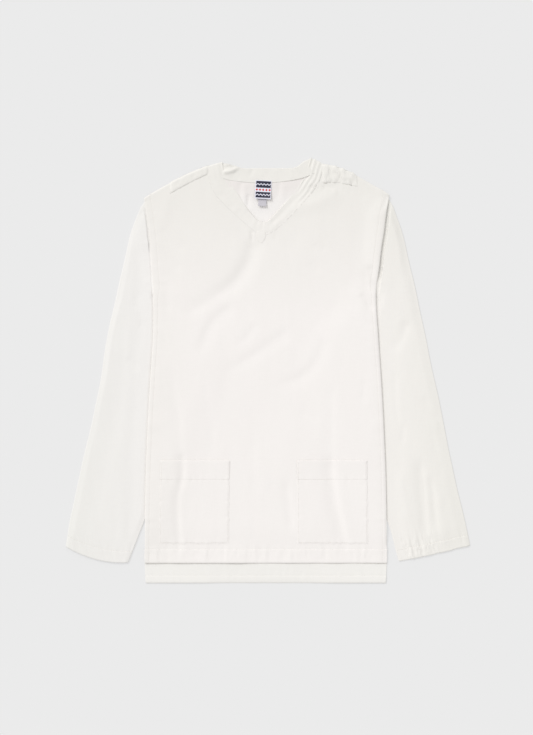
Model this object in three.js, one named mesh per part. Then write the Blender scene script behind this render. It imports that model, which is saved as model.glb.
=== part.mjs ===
// A long-sleeved army smock in off-white cotton drill, laid flat on its back with its sleeves
// folded down behind the body. V neck with a band, shoulder strips, two patch pockets, side vents
// and a back hem that is longer than the front one.
// Millimetres. +X is to the right of the picture, +Y towards the neck, +Z up from the surface.
// The origin is on the surface, under the middle of the garment's outline.
import * as THREE from "three";

// Cloth and seams.
const WALL = 1.1; // thickness of the drill
const SEAM_GAP = 0.3; // space kept between pieces that are sewn together
const HEM_RAISE = 0.5; // how far a turned hem stands above the single cloth
const BAND_WALL = 1.6; // the neck band is double

// Body: both panels share these side edges, measured from the centre line.
const CENTRE_X = -4;
const SIDE = [
  { y: -393.1, half: 221.5 },
  { y: -356, half: 223.5 },
  { y: -267, half: 223 },
  { y: -162, half: 220.5 },
  { y: -35, half: 214.5 },
  { y: 60, half: 208 },
  { y: 141.5, half: 203.7 },
  { y: 190, half: 209.6 },
  { y: 267, half: 217.6 },
  { y: 318, half: 225 },
];
const PIT_Y = 141.5; // underarm, where the side seam meets the sleeve
const TIP_Y = 318; // shoulder point
const FRONT_HEM_Y = -356.1;
const BACK_HEM_Y = -393.1;
const HEM_DEPTH = 25;
const VENT_TOP_Y = -318;
const VENT_FADE = 14; // the side seam opens over this height at the vent, and at the pit

// Shoulders: the line runs from the neck point to the shoulder point, with a slight bulge. A strip
// is sewn over it, and reaches down the front and the back by its drop.
const SHOULDERS = [
  { name: "left", sign: -1, neckX: -112.8, neckY: 376.5, bulge: 4, stripEndX: -181, drop: 15, endDrop: 20 },
  { name: "right", sign: 1, neckX: 103.7, neckY: 380.2, bulge: 7, stripEndX: 165, drop: 34, endDrop: 20 },
];

// Neck band: its seam edge is sewn to the panels and its free edge is the neckline. The front
// sections run from the left shoulder round the V to the right one, the back ones return.
const BAND_FRONT = [
  { seamX: -108.5, seamY: 350, freeX: -81.3, freeY: 363.5 },
  { seamX: -97, seamY: 326.5, freeX: -67.5, freeY: 343.2 },
  { seamX: -84, seamY: 311, freeX: -57.5, freeY: 329 },
  { seamX: -71, seamY: 298, freeX: -48.5, freeY: 315 },
  { seamX: -55, seamY: 284, freeX: -38.8, freeY: 298.8 },
  { seamX: -36, seamY: 267, freeX: -25.8, freeY: 283.1 },
  { seamX: -22, seamY: 256.5, freeX: -16.5, freeY: 275.2 },
  { seamX: -9.2, seamY: 250, freeX: -8.2, freeY: 271 },
  { seamX: 4, seamY: 254.5, freeX: 0.5, freeY: 276.3 },
  { seamX: 18, seamY: 264, freeX: 10.3, freeY: 285.5 },
  { seamX: 36, seamY: 280.5, freeX: 24.5, freeY: 300.5 },
  { seamX: 53.5, seamY: 298.5, freeX: 39, freeY: 317.5 },
  { seamX: 66, seamY: 312, freeX: 49.5, freeY: 330.5 },
  { seamX: 80, seamY: 327.5, freeX: 60.8, freeY: 345.5 },
  { seamX: 94, seamY: 350, freeX: 71.5, freeY: 361.7 },
];
const BAND_BACK = [
  { seamX: 84, seamY: 364.5, freeX: 66, freeY: 385 },
  { seamX: 66, seamY: 357, freeX: 52, freeY: 375 },
  { seamX: 40, seamY: 351.5, freeX: 36, freeY: 372.8 },
  { seamX: 10, seamY: 348, freeX: 10, freeY: 372.8 },
  { seamX: -20, seamY: 347.3, freeX: -20, freeY: 372.8 },
  { seamX: -48, seamY: 349.3, freeX: -46, freeY: 372.8 },
  { seamX: -72, seamY: 352.5, freeX: -61, freeY: 377 },
  { seamX: -95, seamY: 360.5, freeX: -75, freeY: 381 },
];
const BAND_FOLDS = {
  left: { freeX: -85, freeY: 384.8 },
  right: { freeX: 80, freeY: 393.1 },
};
const BAND_RAISE = 0.3; // the band stands this far above the front panel
const COLLAR_ROLL = { x: -70, spread: 11, lift: 4.5 }; // the back band stands up here

// Pockets, as shares of the body's half width. Each has a deep turned hem along its mouth.
const POCKET = { bottomY: -321, hemY: -201.7, topY: -166.5, mouthLift: 0.7 };
const POCKETS = [
  { name: "pocket_left", from: -0.8815, to: -0.302 },
  { name: "pocket_right", from: 0.26, to: 0.845 },
];

// Small pieces at the neck.
const V_PATCH = { x: -12, topY: 262, bottomY: 234, width: 17, clear: 0.8, lift: 0 };
const V_PATCH_SHAPE = [
  { down: 0, share: 0.82 },
  { down: 0.25, share: 1 },
  { down: 0.55, share: 0.88 },
  { down: 0.8, share: 0.5 },
  { down: 1, share: 0.1 },
];
const LABEL = { x: -8.7, topY: 349.6, bottomY: 316.4, width: 28.7, clear: 1.6, lift: 1.2, wall: 0.8 };
const SIZE_TAB = { x: -9.9, topY: 345, bottomY: 303, width: 15.2, clear: 0.4, lift: 0.9, wall: 0.8 };

// Sleeves, as distances from the centre line: the outer edge, and the underarm edge, which is
// tucked under the body from the pit to where it comes out near the cuff.
const SLEEVE_OUTER = [
  { y: 318, d: 224.5 },
  { y: 251, d: 250 },
  { y: 183, d: 265.5 },
  { y: 69, d: 291.4 },
  { y: -30, d: 307.5 },
  { y: -113, d: 325 },
  { y: -180, d: 341 },
  { y: -263, d: 359 },
  { y: -325.6, d: 370.2 },
];
const SLEEVE_INNER = [
  { y: 176, d: 242 },
  { y: 160, d: 222 },
  { y: 143, d: 204.5 },
  { y: 139, d: 206 },
  { y: 133, d: 207.2 },
  { y: 128, d: 206.4 },
  { y: 121, d: 202 },
  { y: 112, d: 192 },
  { y: 98, d: 176 },
  { y: 80, d: 158 },
  { y: 58, d: 142 },
  { y: 32, d: 131 },
  { y: -5, d: 132 },
  { y: -50, d: 145 },
  { y: -140, d: 173 },
  { y: -215, d: 199 },
  { y: -275, d: 223 },
  { y: -316, d: 239 },
  { y: -355, d: 254 },
];
// What the right sleeve's outer edge lies further out than the left one's, and how far its
// underarm edge is drawn in at the cuff.
const RIGHT_SPREAD = [
  { y: 318, by: 0 },
  { y: 270, by: 3 },
  { y: 165, by: 3.8 },
  { y: 60, by: 2.4 },
  { y: 0, by: 5.5 },
  { y: -55, by: 8 },
  { y: -160, by: 4.8 },
  { y: -250, by: 4.8 },
  { y: -305, by: 7.5 },
  { y: -326, by: 8 },
];
const NO_SPREAD = [
  { y: TIP_Y, by: 0 },
  { y: BACK_HEM_Y, by: 0 },
];
const SLEEVES = [
  { name: "sleeve_left", sign: -1, spread: NO_SPREAD, cuffTuck: 0, cuffBow: 11 },
  { name: "sleeve_right", sign: 1, spread: RIGHT_SPREAD, cuffTuck: 7, cuffBow: 1.5 },
];
// A ring of the sleeve runs from its outer edge at outY to its underarm edge at inY. The rings fan
// round the pit. join is how far a ring still follows the armhole's heights.
const SLEEVE_RINGS = [
  { outY: 314, inY: 143, join: 1 },
  { outY: 297, inY: 141.2, join: 0.55 },
  { outY: 272, inY: 139.4, join: 0.2 },
  { outY: 244, inY: 137.6, join: 0 },
  { outY: 214, inY: 135.8, join: 0 },
  { outY: 184, inY: 134, join: 0 },
  { outY: 154, inY: 131.6, join: 0 },
  { outY: 126, inY: 128, join: 0 },
  { outY: 100, inY: 121, join: 0 },
  { outY: 75, inY: 111, join: 0 },
  { outY: 50, inY: 98, join: 0 },
  { outY: 25, inY: 80, join: 0 },
  { outY: -2, inY: 58, join: 0 },
  { outY: -30, inY: 31, join: 0 },
  { outY: -63, inY: -6, join: 0 },
  { outY: -99, inY: -50, join: 0 },
  { outY: -135, inY: -96, join: 0 },
  { outY: -170, inY: -142, join: 0 },
  { outY: -203, inY: -187, join: 0 },
  { outY: -233, inY: -230, join: 0 },
  { outY: -261, inY: -273, join: 0 },
  { outY: -287, inY: -316, join: 0 },
];
const CUFF = { outY: -325.6, inY: -355, hemDepth: 20, bowFromY: -150, tuckFromY: -285 };
const HEM_STEP = 0.8; // a turned hem rises over this far to each side of its line
const ARMHOLE_TUCK = 1.1; // the sleeve's end lies this far under the front panel's rounded edge
const ARMHOLE_LIP = 1.5; // how far that edge turns down
const BACK_SET = 1.8; // the back panel's armhole edge is this far in from the front panel's
const BACK_SET_FADE = { from: PIT_Y - 10, to: PIT_Y - 1 };
const ARMHOLE_SETTLE = 0.5; // share of the back panel's height that the sleeve's end keeps below it

// Heights above the surface.
const SLEEVE_HIDDEN = 2.8; // both walls of a sleeve, pressed flat under the body
const SLEEVE_LOFT = 5; // the sleeve where it lies free
const LOFT = { from: 8, to: 32 }; // it rises over this stretch beside the body
const BACK_OVER_SLEEVE = SLEEVE_HIDDEN + SEAM_GAP;
// The back panel climbs onto the sleeve between these distances from the sleeve's underarm edge.
// The climb is steeper below the vents, where the sleeve has come out from under the body.
const BACK_RAMP = { from: 46, to: 20, lowFrom: 27, lowTo: 5, fromY: -265, lowFromY: -300 };
const STRIP_STACK = WALL + SEAM_GAP; // what a shoulder strip takes up under the back panel
const STRIP_FADE = { full: 40, none: 62 };
const FRONT_MID = 5.2; // upper face of the front panel: middle, sides, shoulders and hem
const FRONT_EDGE = 7.4;
const FRONT_SHOULDER = 6;
const FRONT_HEM = 3.8;
const TO_SHOULDER = { from: 120, to: 230 }; // the sides settle to the shoulders' height here
const TO_HEM = { from: -288, to: -350 }; // and the panel to the hem's height here
const FRONT_RAMP = { from: 75, to: 5 }; // as BACK_RAMP, for the front panel
const ROLL = 4; // how far in from a folded side the cloth starts to turn down
const ROLL_ANGLES = [90, 60, 30, 0];
const LEAST_TURN = 0.4; // a side that turns less than this stays a plain edge
const LEAST_UPRIGHT = 0.02; // keeps a wall's direction from lying quite flat
const NECK_STEP = 1.5; // the shoulder starts to turn over this far from the band
const NECK_SET = 2.6; // the panels' corners at the neck stop this short, inside the band's turn
const NECK_DROP = 18; // how far down the flap rows reach at the neck, and at the panels' sides
const NECK_DROP_FADE = 40;
const SIDE_DROP = 20;
const FLAP_MIDDLE = 0.45; // where the flap's middle row lies, as a share of its height
const SAME_PLACE = 0.5; // points this close count as being on a line of the cut
const DEGREE = Math.PI / 180;

// Soft folds: each follows a curve from (x0, y0) by way of (x1, y1) to (x2, y2). rise is negative
// for a trough.
const FRONT_FOLDS = [
  { x0: -26, y0: 243, x1: -34, y1: 178, x2: -152, y2: 103, rise: -2.3, width: 14 },
  { x0: -60, y0: 122, x1: -116, y1: 92, x2: -119, y2: 20, rise: -1.5, width: 12 },
  { x0: 34, y0: 72, x1: -10, y1: 26, x2: -74, y2: -6, rise: -1.3, width: 13 },
  { x0: 95, y0: 50, x1: 74, y1: -28, x2: 8, y2: -26, rise: -1.3, width: 13 },
  { x0: -184, y0: -8, x1: -156, y1: -150, x2: -161, y2: -356, rise: -1.3, width: 9 },
  { x0: 114, y0: -19, x1: 116, y1: -170, x2: 138, y2: -356, rise: -1.4, width: 11 },
  { x0: 36, y0: -190, x1: 37, y1: -270, x2: 49, y2: -322, rise: -1.1, width: 11 },
  { x0: -34, y0: -110, x1: -26, y1: -200, x2: -20, y2: -290, rise: -0.8, width: 15 },
  { x0: 181, y0: 205, x1: 182, y1: 150, x2: 196, y2: 92, rise: -1.4, width: 13 },
  { x0: 66, y0: 304, x1: 100, y1: 312, x2: 142, y2: 331, rise: 0.9, width: 12 },
];
const BACK_FOLDS = [
  { x0: -51, y0: 346, x1: -52, y1: 330, x2: -50, y2: 300, rise: 1, width: 7 },
  { x0: -30, y0: 346, x1: -34, y1: 325, x2: -40, y2: 292, rise: 1.2, width: 6 },
  { x0: 18, y0: 346, x1: 15, y1: 325, x2: 12, y2: 300, rise: 0.8, width: 7 },
];
const SLEEVE_FOLDS = [
  { x0: 291, y0: -200, x1: 290, y1: -260, x2: 292, y2: -330, rise: -1.4, width: 13 },
  { x0: 247, y0: 98, x1: 240, y1: 70, x2: 243, y2: 30, rise: -1, width: 12 },
  { x0: 296, y0: -40, x1: 318, y1: -80, x2: 333, y2: -140, rise: -0.9, width: 12 },
  { x0: -262, y0: 30, x1: -276, y1: -60, x2: -292, y2: -150, rise: -0.7, width: 16 },
];
const HEM_RIPPLES = [
  { length: 93, rise: 0.35, shift: 1.1 },
  { length: 61, rise: 0.25, shift: 0.2 },
  { length: 37, rise: 0.15, shift: 2.4 },
];
const HEM_RIPPLE_REACH = 60;

const CLOTH = 0xf4f1ee;
const LABEL_CLOTH = 0xe9e8f2;

const lerp = (a, b, t) => a + (b - a) * t;
const clamp01 = (t) => Math.min(1, Math.max(0, t));

// 0 at from and beyond, 1 at to and beyond, smooth between them. from may be above to.
function smooth(from, to, value) {
  const t = clamp01((value - from) / (to - from));
  return t * t * (3 - 2 * t);
}

// Reads a table as a smooth curve: the value of column want where column key is at.
function readCurve(rows, key, want, at) {
  const up = rows[0][key] < rows[rows.length - 1][key] ? rows : [...rows].reverse();
  const last = up.length - 1;
  if (at <= up[0][key]) return up[0][want];
  if (at >= up[last][key]) return up[last][want];
  const i = up.findIndex((row) => row[key] > at) - 1;
  const slope = (j) => {
    const before = up[Math.max(0, j - 1)];
    const after = up[Math.min(last, j + 1)];
    return (after[want] - before[want]) / (after[key] - before[key]);
  };
  const span = up[i + 1][key] - up[i][key];
  const t = (at - up[i][key]) / span;
  const t2 = t * t;
  const t3 = t2 * t;
  return (
    (2 * t3 - 3 * t2 + 1) * up[i][want] +
    (t3 - 2 * t2 + t) * span * slope(i) +
    (-2 * t3 + 3 * t2) * up[i + 1][want] +
    (t3 - t2) * span * slope(i + 1)
  );
}

// Height that a set of folds adds at a point. A fold dies away over a share of its length at each
// end, and runs on a little beyond it.
const FOLD_STEPS = 12;
const FOLD_FADE = 0.25;
const FOLD_OVERRUN = 0.1;
function foldsAt(folds, x, y) {
  let rise = 0;
  for (const fold of folds) {
    let nearest = Infinity;
    let along = 0;
    for (let i = 0; i <= FOLD_STEPS; i++) {
      const t = i / FOLD_STEPS;
      const cx = lerp(lerp(fold.x0, fold.x1, t), lerp(fold.x1, fold.x2, t), t);
      const cy = lerp(lerp(fold.y0, fold.y1, t), lerp(fold.y1, fold.y2, t), t);
      const gap = Math.hypot(x - cx, y - cy);
      if (gap < nearest) {
        nearest = gap;
        along = t;
      }
    }
    const start = smooth(0, FOLD_FADE, along + FOLD_OVERRUN);
    const fade = start * smooth(1, 1 - FOLD_FADE, along - FOLD_OVERRUN);
    rise += fold.rise * fade * Math.exp(-((nearest / fold.width) ** 2));
  }
  return rise;
}

const halfAt = (y) => readCurve(SIDE, "y", "half", y);
const innerAt = (y) => readCurve(SLEEVE_INNER, "y", "d", y);
const offCentre = (x) => Math.abs(x - CENTRE_X);

// The garment's top outline at x: the shoulder lines, and between them the seam of the given part
// of the neck band.
function outlineAt(bandRows, x) {
  const side = x < CENTRE_X ? SHOULDERS[0] : SHOULDERS[1];
  const tipX = CENTRE_X + side.sign * halfAt(TIP_Y);
  const share = (x - side.neckX) / (tipX - side.neckX);
  if (share > 0) {
    return lerp(side.neckY, TIP_Y, share) + side.bulge * 4 * share * (1 - share);
  }
  const seam = [
    ...bandRows,
    ...SHOULDERS.map((s) => ({ seamX: s.neckX, seamY: s.neckY - NECK_SET })),
  ].sort((a, b) => a.seamX - b.seamX);
  const i = Math.max(1, seam.findIndex((row) => row.seamX >= x)) - 1;
  const t = (x - seam[i].seamX) / (seam[i + 1].seamX - seam[i].seamX);
  return lerp(seam[i].seamY, seam[i + 1].seamY, t);
}

// Underside of the back panel: on the surface, over the tucked sleeves or over the strips.
function backUnder(x, y) {
  const edge = innerAt(y);
  const low = smooth(BACK_RAMP.fromY, BACK_RAMP.lowFromY, y);
  const from = edge - lerp(BACK_RAMP.from, BACK_RAMP.lowFrom, low);
  const to = edge - lerp(BACK_RAMP.to, BACK_RAMP.lowTo, low);
  const sleeve = BACK_OVER_SLEEVE * smooth(from, to, offCentre(x));
  const drop = outlineAt(BAND_BACK, x) - y;
  const strip = STRIP_STACK * smooth(STRIP_FADE.none, STRIP_FADE.full, drop);
  return Math.max(sleeve, strip);
}

const backInside = (x, y) => backUnder(x, y) + WALL + foldsAt(BACK_FOLDS, x, y);

// Upper face of the front panel, without its hem.
function frontTop(x, y) {
  const edge = lerp(FRONT_EDGE, FRONT_SHOULDER, smooth(TO_SHOULDER.from, TO_SHOULDER.to, y));
  const tucked = innerAt(y);
  const overSleeve = smooth(tucked - FRONT_RAMP.from, tucked - FRONT_RAMP.to, offCentre(x));
  const across = lerp(FRONT_MID, edge, overSleeve);
  const level = lerp(across, FRONT_HEM, smooth(TO_HEM.from, TO_HEM.to, y));
  const nearHem = smooth(FRONT_HEM_Y + HEM_RIPPLE_REACH, FRONT_HEM_Y, y);
  const ripple = HEM_RIPPLES.reduce(
    (sum, r) => sum + r.rise * Math.sin((2 * Math.PI * x) / r.length + r.shift),
    0,
  );
  return level + nearHem * ripple + foldsAt(FRONT_FOLDS, x, y);
}

const frontHemRaise = (y) => (y < FRONT_HEM_Y + HEM_DEPTH ? HEM_RAISE : 0);
const backHemRaise = (y) => (y < BACK_HEM_Y + HEM_DEPTH ? HEM_RAISE : 0);

// Upper face of a sleeve: pressed flat under the body, lofted beside it.
function sleeveTop(x, y) {
  const beside = offCentre(x) - halfAt(y);
  const level = lerp(SLEEVE_HIDDEN, SLEEVE_LOFT, smooth(LOFT.from, LOFT.to, beside));
  return level + smooth(LOFT.from, LOFT.to, beside) * foldsAt(SLEEVE_FOLDS, x, y);
}

// Columns of a panel, left to right. A side column has u of -1 or 1 and an inset. lean is how far
// the cloth has turned there, 90 degrees at the fold.
function panelColumns(bandRows, stops) {
  const columns = stops.map((x) => {
    const topY = outlineAt(bandRows, x);
    const side = x < CENTRE_X ? SHOULDERS[0] : SHOULDERS[1];
    const beyond = (x - side.neckX) * side.sign;
    const towardsEnd = clamp01(beyond / Math.abs(side.stripEndX - side.neckX));
    const towardsNeck = clamp01(-beyond / NECK_DROP_FADE);
    return {
      u: (x - CENTRE_X) / halfAt(topY),
      inset: 0,
      lean: 0,
      topX: x,
      topY,
      drop: lerp(lerp(side.drop, side.endDrop, towardsEnd), NECK_DROP, towardsNeck),
      shoulder: beyond > NECK_STEP / 2,
    };
  });
  const edgeColumns = (sign) =>
    ROLL_ANGLES.map((lean) => {
      const inset = ROLL * (1 - Math.sin(lean * DEGREE));
      const topX = CENTRE_X + sign * (halfAt(TIP_Y) - inset);
      const topY = outlineAt(bandRows, topX);
      return { u: sign, inset, lean, topX, topY, drop: SIDE_DROP, shoulder: true };
    });
  return [...edgeColumns(-1), ...columns, ...edgeColumns(1).reverse()];
}

const columnX = (column, y) => CENTRE_X + column.u * halfAt(y) - column.inset * column.u;

// Rows of a panel: fixed heights up to the pit, then spread to the top outline, and last the rows
// where the shoulder turns over.
const SPREAD_ROWS = 7;
function panelRows(lowerRows) {
  const rows = lowerRows.map((y) => ({ y: () => y, lean: 0, place: "body" }));
  for (let i = 1; i <= SPREAD_ROWS; i++) {
    const share = i / SPREAD_ROWS;
    const place = i === SPREAD_ROWS ? "flap" : "body";
    rows.push({ y: (c) => lerp(PIT_Y, c.topY - c.drop, share), lean: 0, place });
  }
  rows.push({ y: (c) => c.topY - lerp(ROLL, c.drop, FLAP_MIDDLE), lean: 0, place: "flap" });
  for (const lean of [...ROLL_ANGLES].reverse()) {
    rows.push({ y: (c) => c.topY - ROLL * (1 - Math.sin(lean * DEGREE)), lean, place: "flap" });
  }
  return rows;
}

// How far the front panel's side turns down, and the back panel's side turns up, at y.
function sideTurns(x, y) {
  const half = (frontTop(x, y) - backUnder(x, y)) / 2 - SEAM_GAP / 2;
  const belowPit = smooth(PIT_Y, PIT_Y - VENT_FADE, y);
  const sewn = belowPit * smooth(VENT_TOP_Y - VENT_FADE, VENT_TOP_Y, y);
  const lip = (1 - belowPit) * ARMHOLE_LIP;
  return { front: lip + half * sewn, back: half * sewn };
}

// One point of a panel's two faces. face is 1 for the front panel and -1 for the back one.
function panelPoint(face, column, row) {
  const y = row.y(column);
  const out = Math.sign(column.u);
  const isSide = Math.abs(column.u) === 1;
  const set = face < 0 && isSide ? BACK_SET * smooth(BACK_SET_FADE.from, BACK_SET_FADE.to, y) : 0;
  const x = columnX(column, y) - set * out;
  const turns = sideTurns(x, y);
  const fullTurn = face > 0 ? turns.front : turns.back;
  const sideLean = column.lean * DEGREE;
  const topLean = column.shoulder ? row.lean * DEGREE : 0;
  const halfHeight = (frontTop(x, y) - backUnder(x, y)) / 2 - SEAM_GAP / 2;
  const turn = Math.max(fullTurn * (1 - Math.cos(sideLean)), halfHeight * (1 - Math.cos(topLean)));
  const level = face > 0 ? frontTop(x, y) + frontHemRaise(y) : backUnder(x, y);
  const outer = new THREE.Vector3(x, y, level - face * turn);
  const faceLean = fullTurn > LEAST_TURN ? sideLean : 0;
  const upright = Math.max(LEAST_UPRIGHT, Math.cos(faceLean) * Math.cos(topLean));
  const normal = new THREE.Vector3(out * Math.sin(faceLean), Math.sin(topLean), face * upright);
  normal.normalize();
  const wall = WALL + (face > 0 ? frontHemRaise(y) : backHemRaise(y));
  const inner = outer.clone().addScaledVector(normal, -wall);
  if (face < 0 && turn === 0) inner.z += foldsAt(BACK_FOLDS, x, y);
  return { outer, inner, normal };
}

// Builds a mesh from points and quads, with its faces turned outwards.
function solidMesh(name, colour, points, quads) {
  const index = quads.flatMap(([a, b, c, d]) => [a, b, c, a, c, d]);
  let volume = 0;
  for (let i = 0; i < index.length; i += 3) {
    const [a, b, c] = [points[index[i]], points[index[i + 1]], points[index[i + 2]]];
    volume += a.dot(b.clone().cross(c));
  }
  if (volume < 0) index.reverse();
  const geometry = new THREE.BufferGeometry().setFromPoints(points);
  geometry.setIndex(index);
  geometry.computeVertexNormals();
  const material = new THREE.MeshStandardMaterial({ color: colour, roughness: 0.92, metalness: 0 });
  const mesh = new THREE.Mesh(geometry, material);
  mesh.name = name;
  return mesh;
}

// A sheet of cloth: two matching grids of points, joined round their rim.
function sheetMesh(name, colour, outer, inner) {
  const columns = outer.length;
  const rows = outer[0].length;
  const points = [...outer.flat(), ...inner.flat()];
  const at = (face, i, j) => face * columns * rows + i * rows + j;
  const quads = [];
  for (let i = 0; i + 1 < columns; i++) {
    for (let j = 0; j + 1 < rows; j++) {
      quads.push([at(0, i, j), at(0, i + 1, j), at(0, i + 1, j + 1), at(0, i, j + 1)]);
      quads.push([at(1, i, j), at(1, i, j + 1), at(1, i + 1, j + 1), at(1, i + 1, j)]);
    }
  }
  for (let i = 0; i + 1 < columns; i++) {
    quads.push([at(0, i + 1, 0), at(0, i, 0), at(1, i, 0), at(1, i + 1, 0)]);
    quads.push([at(0, i, rows - 1), at(0, i + 1, rows - 1), at(1, i + 1, rows - 1), at(1, i, rows - 1)]);
  }
  const last = columns - 1;
  for (let j = 0; j + 1 < rows; j++) {
    quads.push([at(0, 0, j), at(0, 0, j + 1), at(1, 0, j + 1), at(1, 0, j)]);
    quads.push([at(0, last, j + 1), at(0, last, j), at(1, last, j), at(1, last, j + 1)]);
  }
  return solidMesh(name, colour, points, quads);
}

// A tube of cloth: rings of matching outer and inner points, open at both ends.
function tubeMesh(name, colour, outer, inner) {
  const rings = outer.length;
  const around = outer[0].length;
  const points = [...outer.flat(), ...inner.flat()];
  const at = (face, k, m) => face * rings * around + k * around + (m % around);
  const quads = [];
  for (let m = 0; m < around; m++) {
    for (let k = 0; k + 1 < rings; k++) {
      quads.push([at(0, k, m), at(0, k, m + 1), at(0, k + 1, m + 1), at(0, k + 1, m)]);
      quads.push([at(1, k + 1, m), at(1, k + 1, m + 1), at(1, k, m + 1), at(1, k, m)]);
    }
    quads.push([at(1, 0, m), at(1, 0, m + 1), at(0, 0, m + 1), at(0, 0, m)]);
    quads.push([at(0, rings - 1, m), at(0, rings - 1, m + 1), at(1, rings - 1, m + 1), at(1, rings - 1, m)]);
  }
  return solidMesh(name, colour, points, quads);
}

// A closed loop of cloth: sections of matching points, joined end to end.
function loopMesh(name, colour, sections) {
  const around = sections[0].length;
  const at = (k, m) => (k % sections.length) * around + (m % around);
  const quads = [];
  for (let k = 0; k < sections.length; k++) {
    for (let m = 0; m < around; m++) {
      quads.push([at(k, m), at(k, m + 1), at(k + 1, m + 1), at(k + 1, m)]);
    }
  }
  return solidMesh(name, colour, sections.flat(), quads);
}

function panelGrid(face, columns, rows) {
  return columns.map((column) => rows.map((row) => ({ ...panelPoint(face, column, row), column, row })));
}

const movedOut = (point, by) => point.outer.clone().addScaledVector(point.normal, by);

function panelMesh(name, grid) {
  const outer = grid.map((column) => column.map((p) => p.outer));
  const inner = grid.map((column) => column.map((p) => p.inner));
  return sheetMesh(name, CLOTH, outer, inner);
}

// Patch pocket: the front panel's own points between the pocket's sides, moved out.
function pocketMesh(pocket, grid) {
  const closeBy = SAME_PLACE / halfAt(POCKET.hemY);
  const inSides = (c) => c.inset === 0 && c.u > pocket.from - closeBy && c.u < pocket.to + closeBy;
  const columns = grid.filter((column) => inSides(column[0].column));
  const onPocket = ({ outer: { y } }) => y > POCKET.bottomY - SAME_PLACE && y < POCKET.topY + SAME_PLACE;
  const patch = columns.map((column) => column.filter(onPocket));
  const mouth = (p) => POCKET.mouthLift * smooth(POCKET.hemY, POCKET.topY, p.outer.y);
  const hem = (p) => (p.outer.y > POCKET.hemY ? HEM_RAISE : 0);
  const under = patch.map((column) => column.map((p) => movedOut(p, SEAM_GAP + mouth(p))));
  const over = patch.map((column) => column.map((p) => movedOut(p, SEAM_GAP + mouth(p) + WALL + hem(p))));
  return sheetMesh(pocket.name, CLOTH, over, under);
}

// Shoulder strip: over the fold, from the front panel's flap rows to the back panel's.
function stripMesh(side, frontGrid, backGrid) {
  const onStrip = (c) =>
    c.shoulder &&
    c.inset === 0 &&
    (c.topX - CENTRE_X) * side.sign > 0 &&
    (side.stripEndX - c.topX) * side.sign > -SAME_PLACE;
  const pick = (grid) =>
    grid
      .filter((column) => onStrip(column[0].column))
      .map((column) => column.filter((p) => p.row.place === "flap"));
  const front = pick(frontGrid);
  const back = pick(backGrid);
  const paths = front.map((column, i) => [...column, ...[...back[i]].reverse().slice(1)]);
  const grid = (by) => paths.map((path) => path.map((p) => movedOut(p, by)));
  return sheetMesh(`shoulder_strip_${side.name}`, CLOTH, grid(SEAM_GAP + WALL), grid(SEAM_GAP));
}

// Neck band: a loop that lies on the front, turns over at each shoulder and returns at the back.
const BAND_ACROSS = [0, 0.5, 1];
function bandSection(seam, free, z, normal, wall) {
  const width = Math.hypot(free.x - seam.x, free.y - seam.y);
  const start = SEAM_GAP / width;
  const outer = BAND_ACROSS.map((share) => {
    const t = lerp(start, 1, share);
    return new THREE.Vector3(lerp(seam.x, free.x, t), lerp(seam.y, free.y, t), z(share));
  });
  const inner = outer.map((p) => p.clone().addScaledVector(normal, -wall));
  return [...outer, ...inner.reverse()];
}

function bandMesh() {
  const up = new THREE.Vector3(0, 0, 1);
  const down = new THREE.Vector3(0, 0, -1);
  const frontLevel = (x, y) => frontTop(x, y) + BAND_RAISE;
  const roll = (x) => COLLAR_ROLL.lift * Math.exp(-(((x - COLLAR_ROLL.x) / COLLAR_ROLL.spread) ** 2));
  const backLevel = (x, y, share) => backInside(x, y) - BAND_WALL + share * share * roll(x);
  const section = (row, level, normal) =>
    bandSection(
      { x: row.seamX, y: row.seamY },
      { x: row.freeX, y: row.freeY },
      (share) => level(row.seamX, row.seamY, share),
      normal,
      BAND_WALL,
    );
  // The band turns over the shoulder in half a circle, from the front's height to the back's.
  const fold = (side, angles) => {
    const spec = BAND_FOLDS[side.name];
    const high = frontLevel(side.neckX, side.neckY);
    const low = backLevel(side.neckX, side.neckY, 0);
    const radius = (high - low) / 2;
    const along = new THREE.Vector3(spec.freeX - side.neckX, spec.freeY - side.neckY, 0).normalize();
    const over = new THREE.Vector3(-along.y, along.x, 0).multiplyScalar(-side.sign);
    if (over.y < 0) over.negate();
    return angles.map((angle) => {
      const a = angle * DEGREE;
      const push = radius * (Math.sin(a) - 1);
      const seam = { x: side.neckX + over.x * push, y: side.neckY + over.y * push };
      const free = { x: spec.freeX + over.x * push, y: spec.freeY + over.y * push };
      const normal = over.clone().multiplyScalar(Math.sin(a)).addScaledVector(up, Math.cos(a));
      return bandSection(seam, free, () => (high + low) / 2 + radius * Math.cos(a), normal, BAND_WALL);
    });
  };
  const [left, right] = SHOULDERS;
  const halfTurn = [0, 30, 60, 90, 120, 150, 180];
  return loopMesh("neckband", CLOTH, [
    ...BAND_FRONT.map((row) => section(row, frontLevel, up)),
    ...fold(right, halfTurn),
    ...BAND_BACK.map((row) => section(row, backLevel, down)),
    ...fold(left, [...halfTurn].reverse()),
  ]);
}

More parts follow.
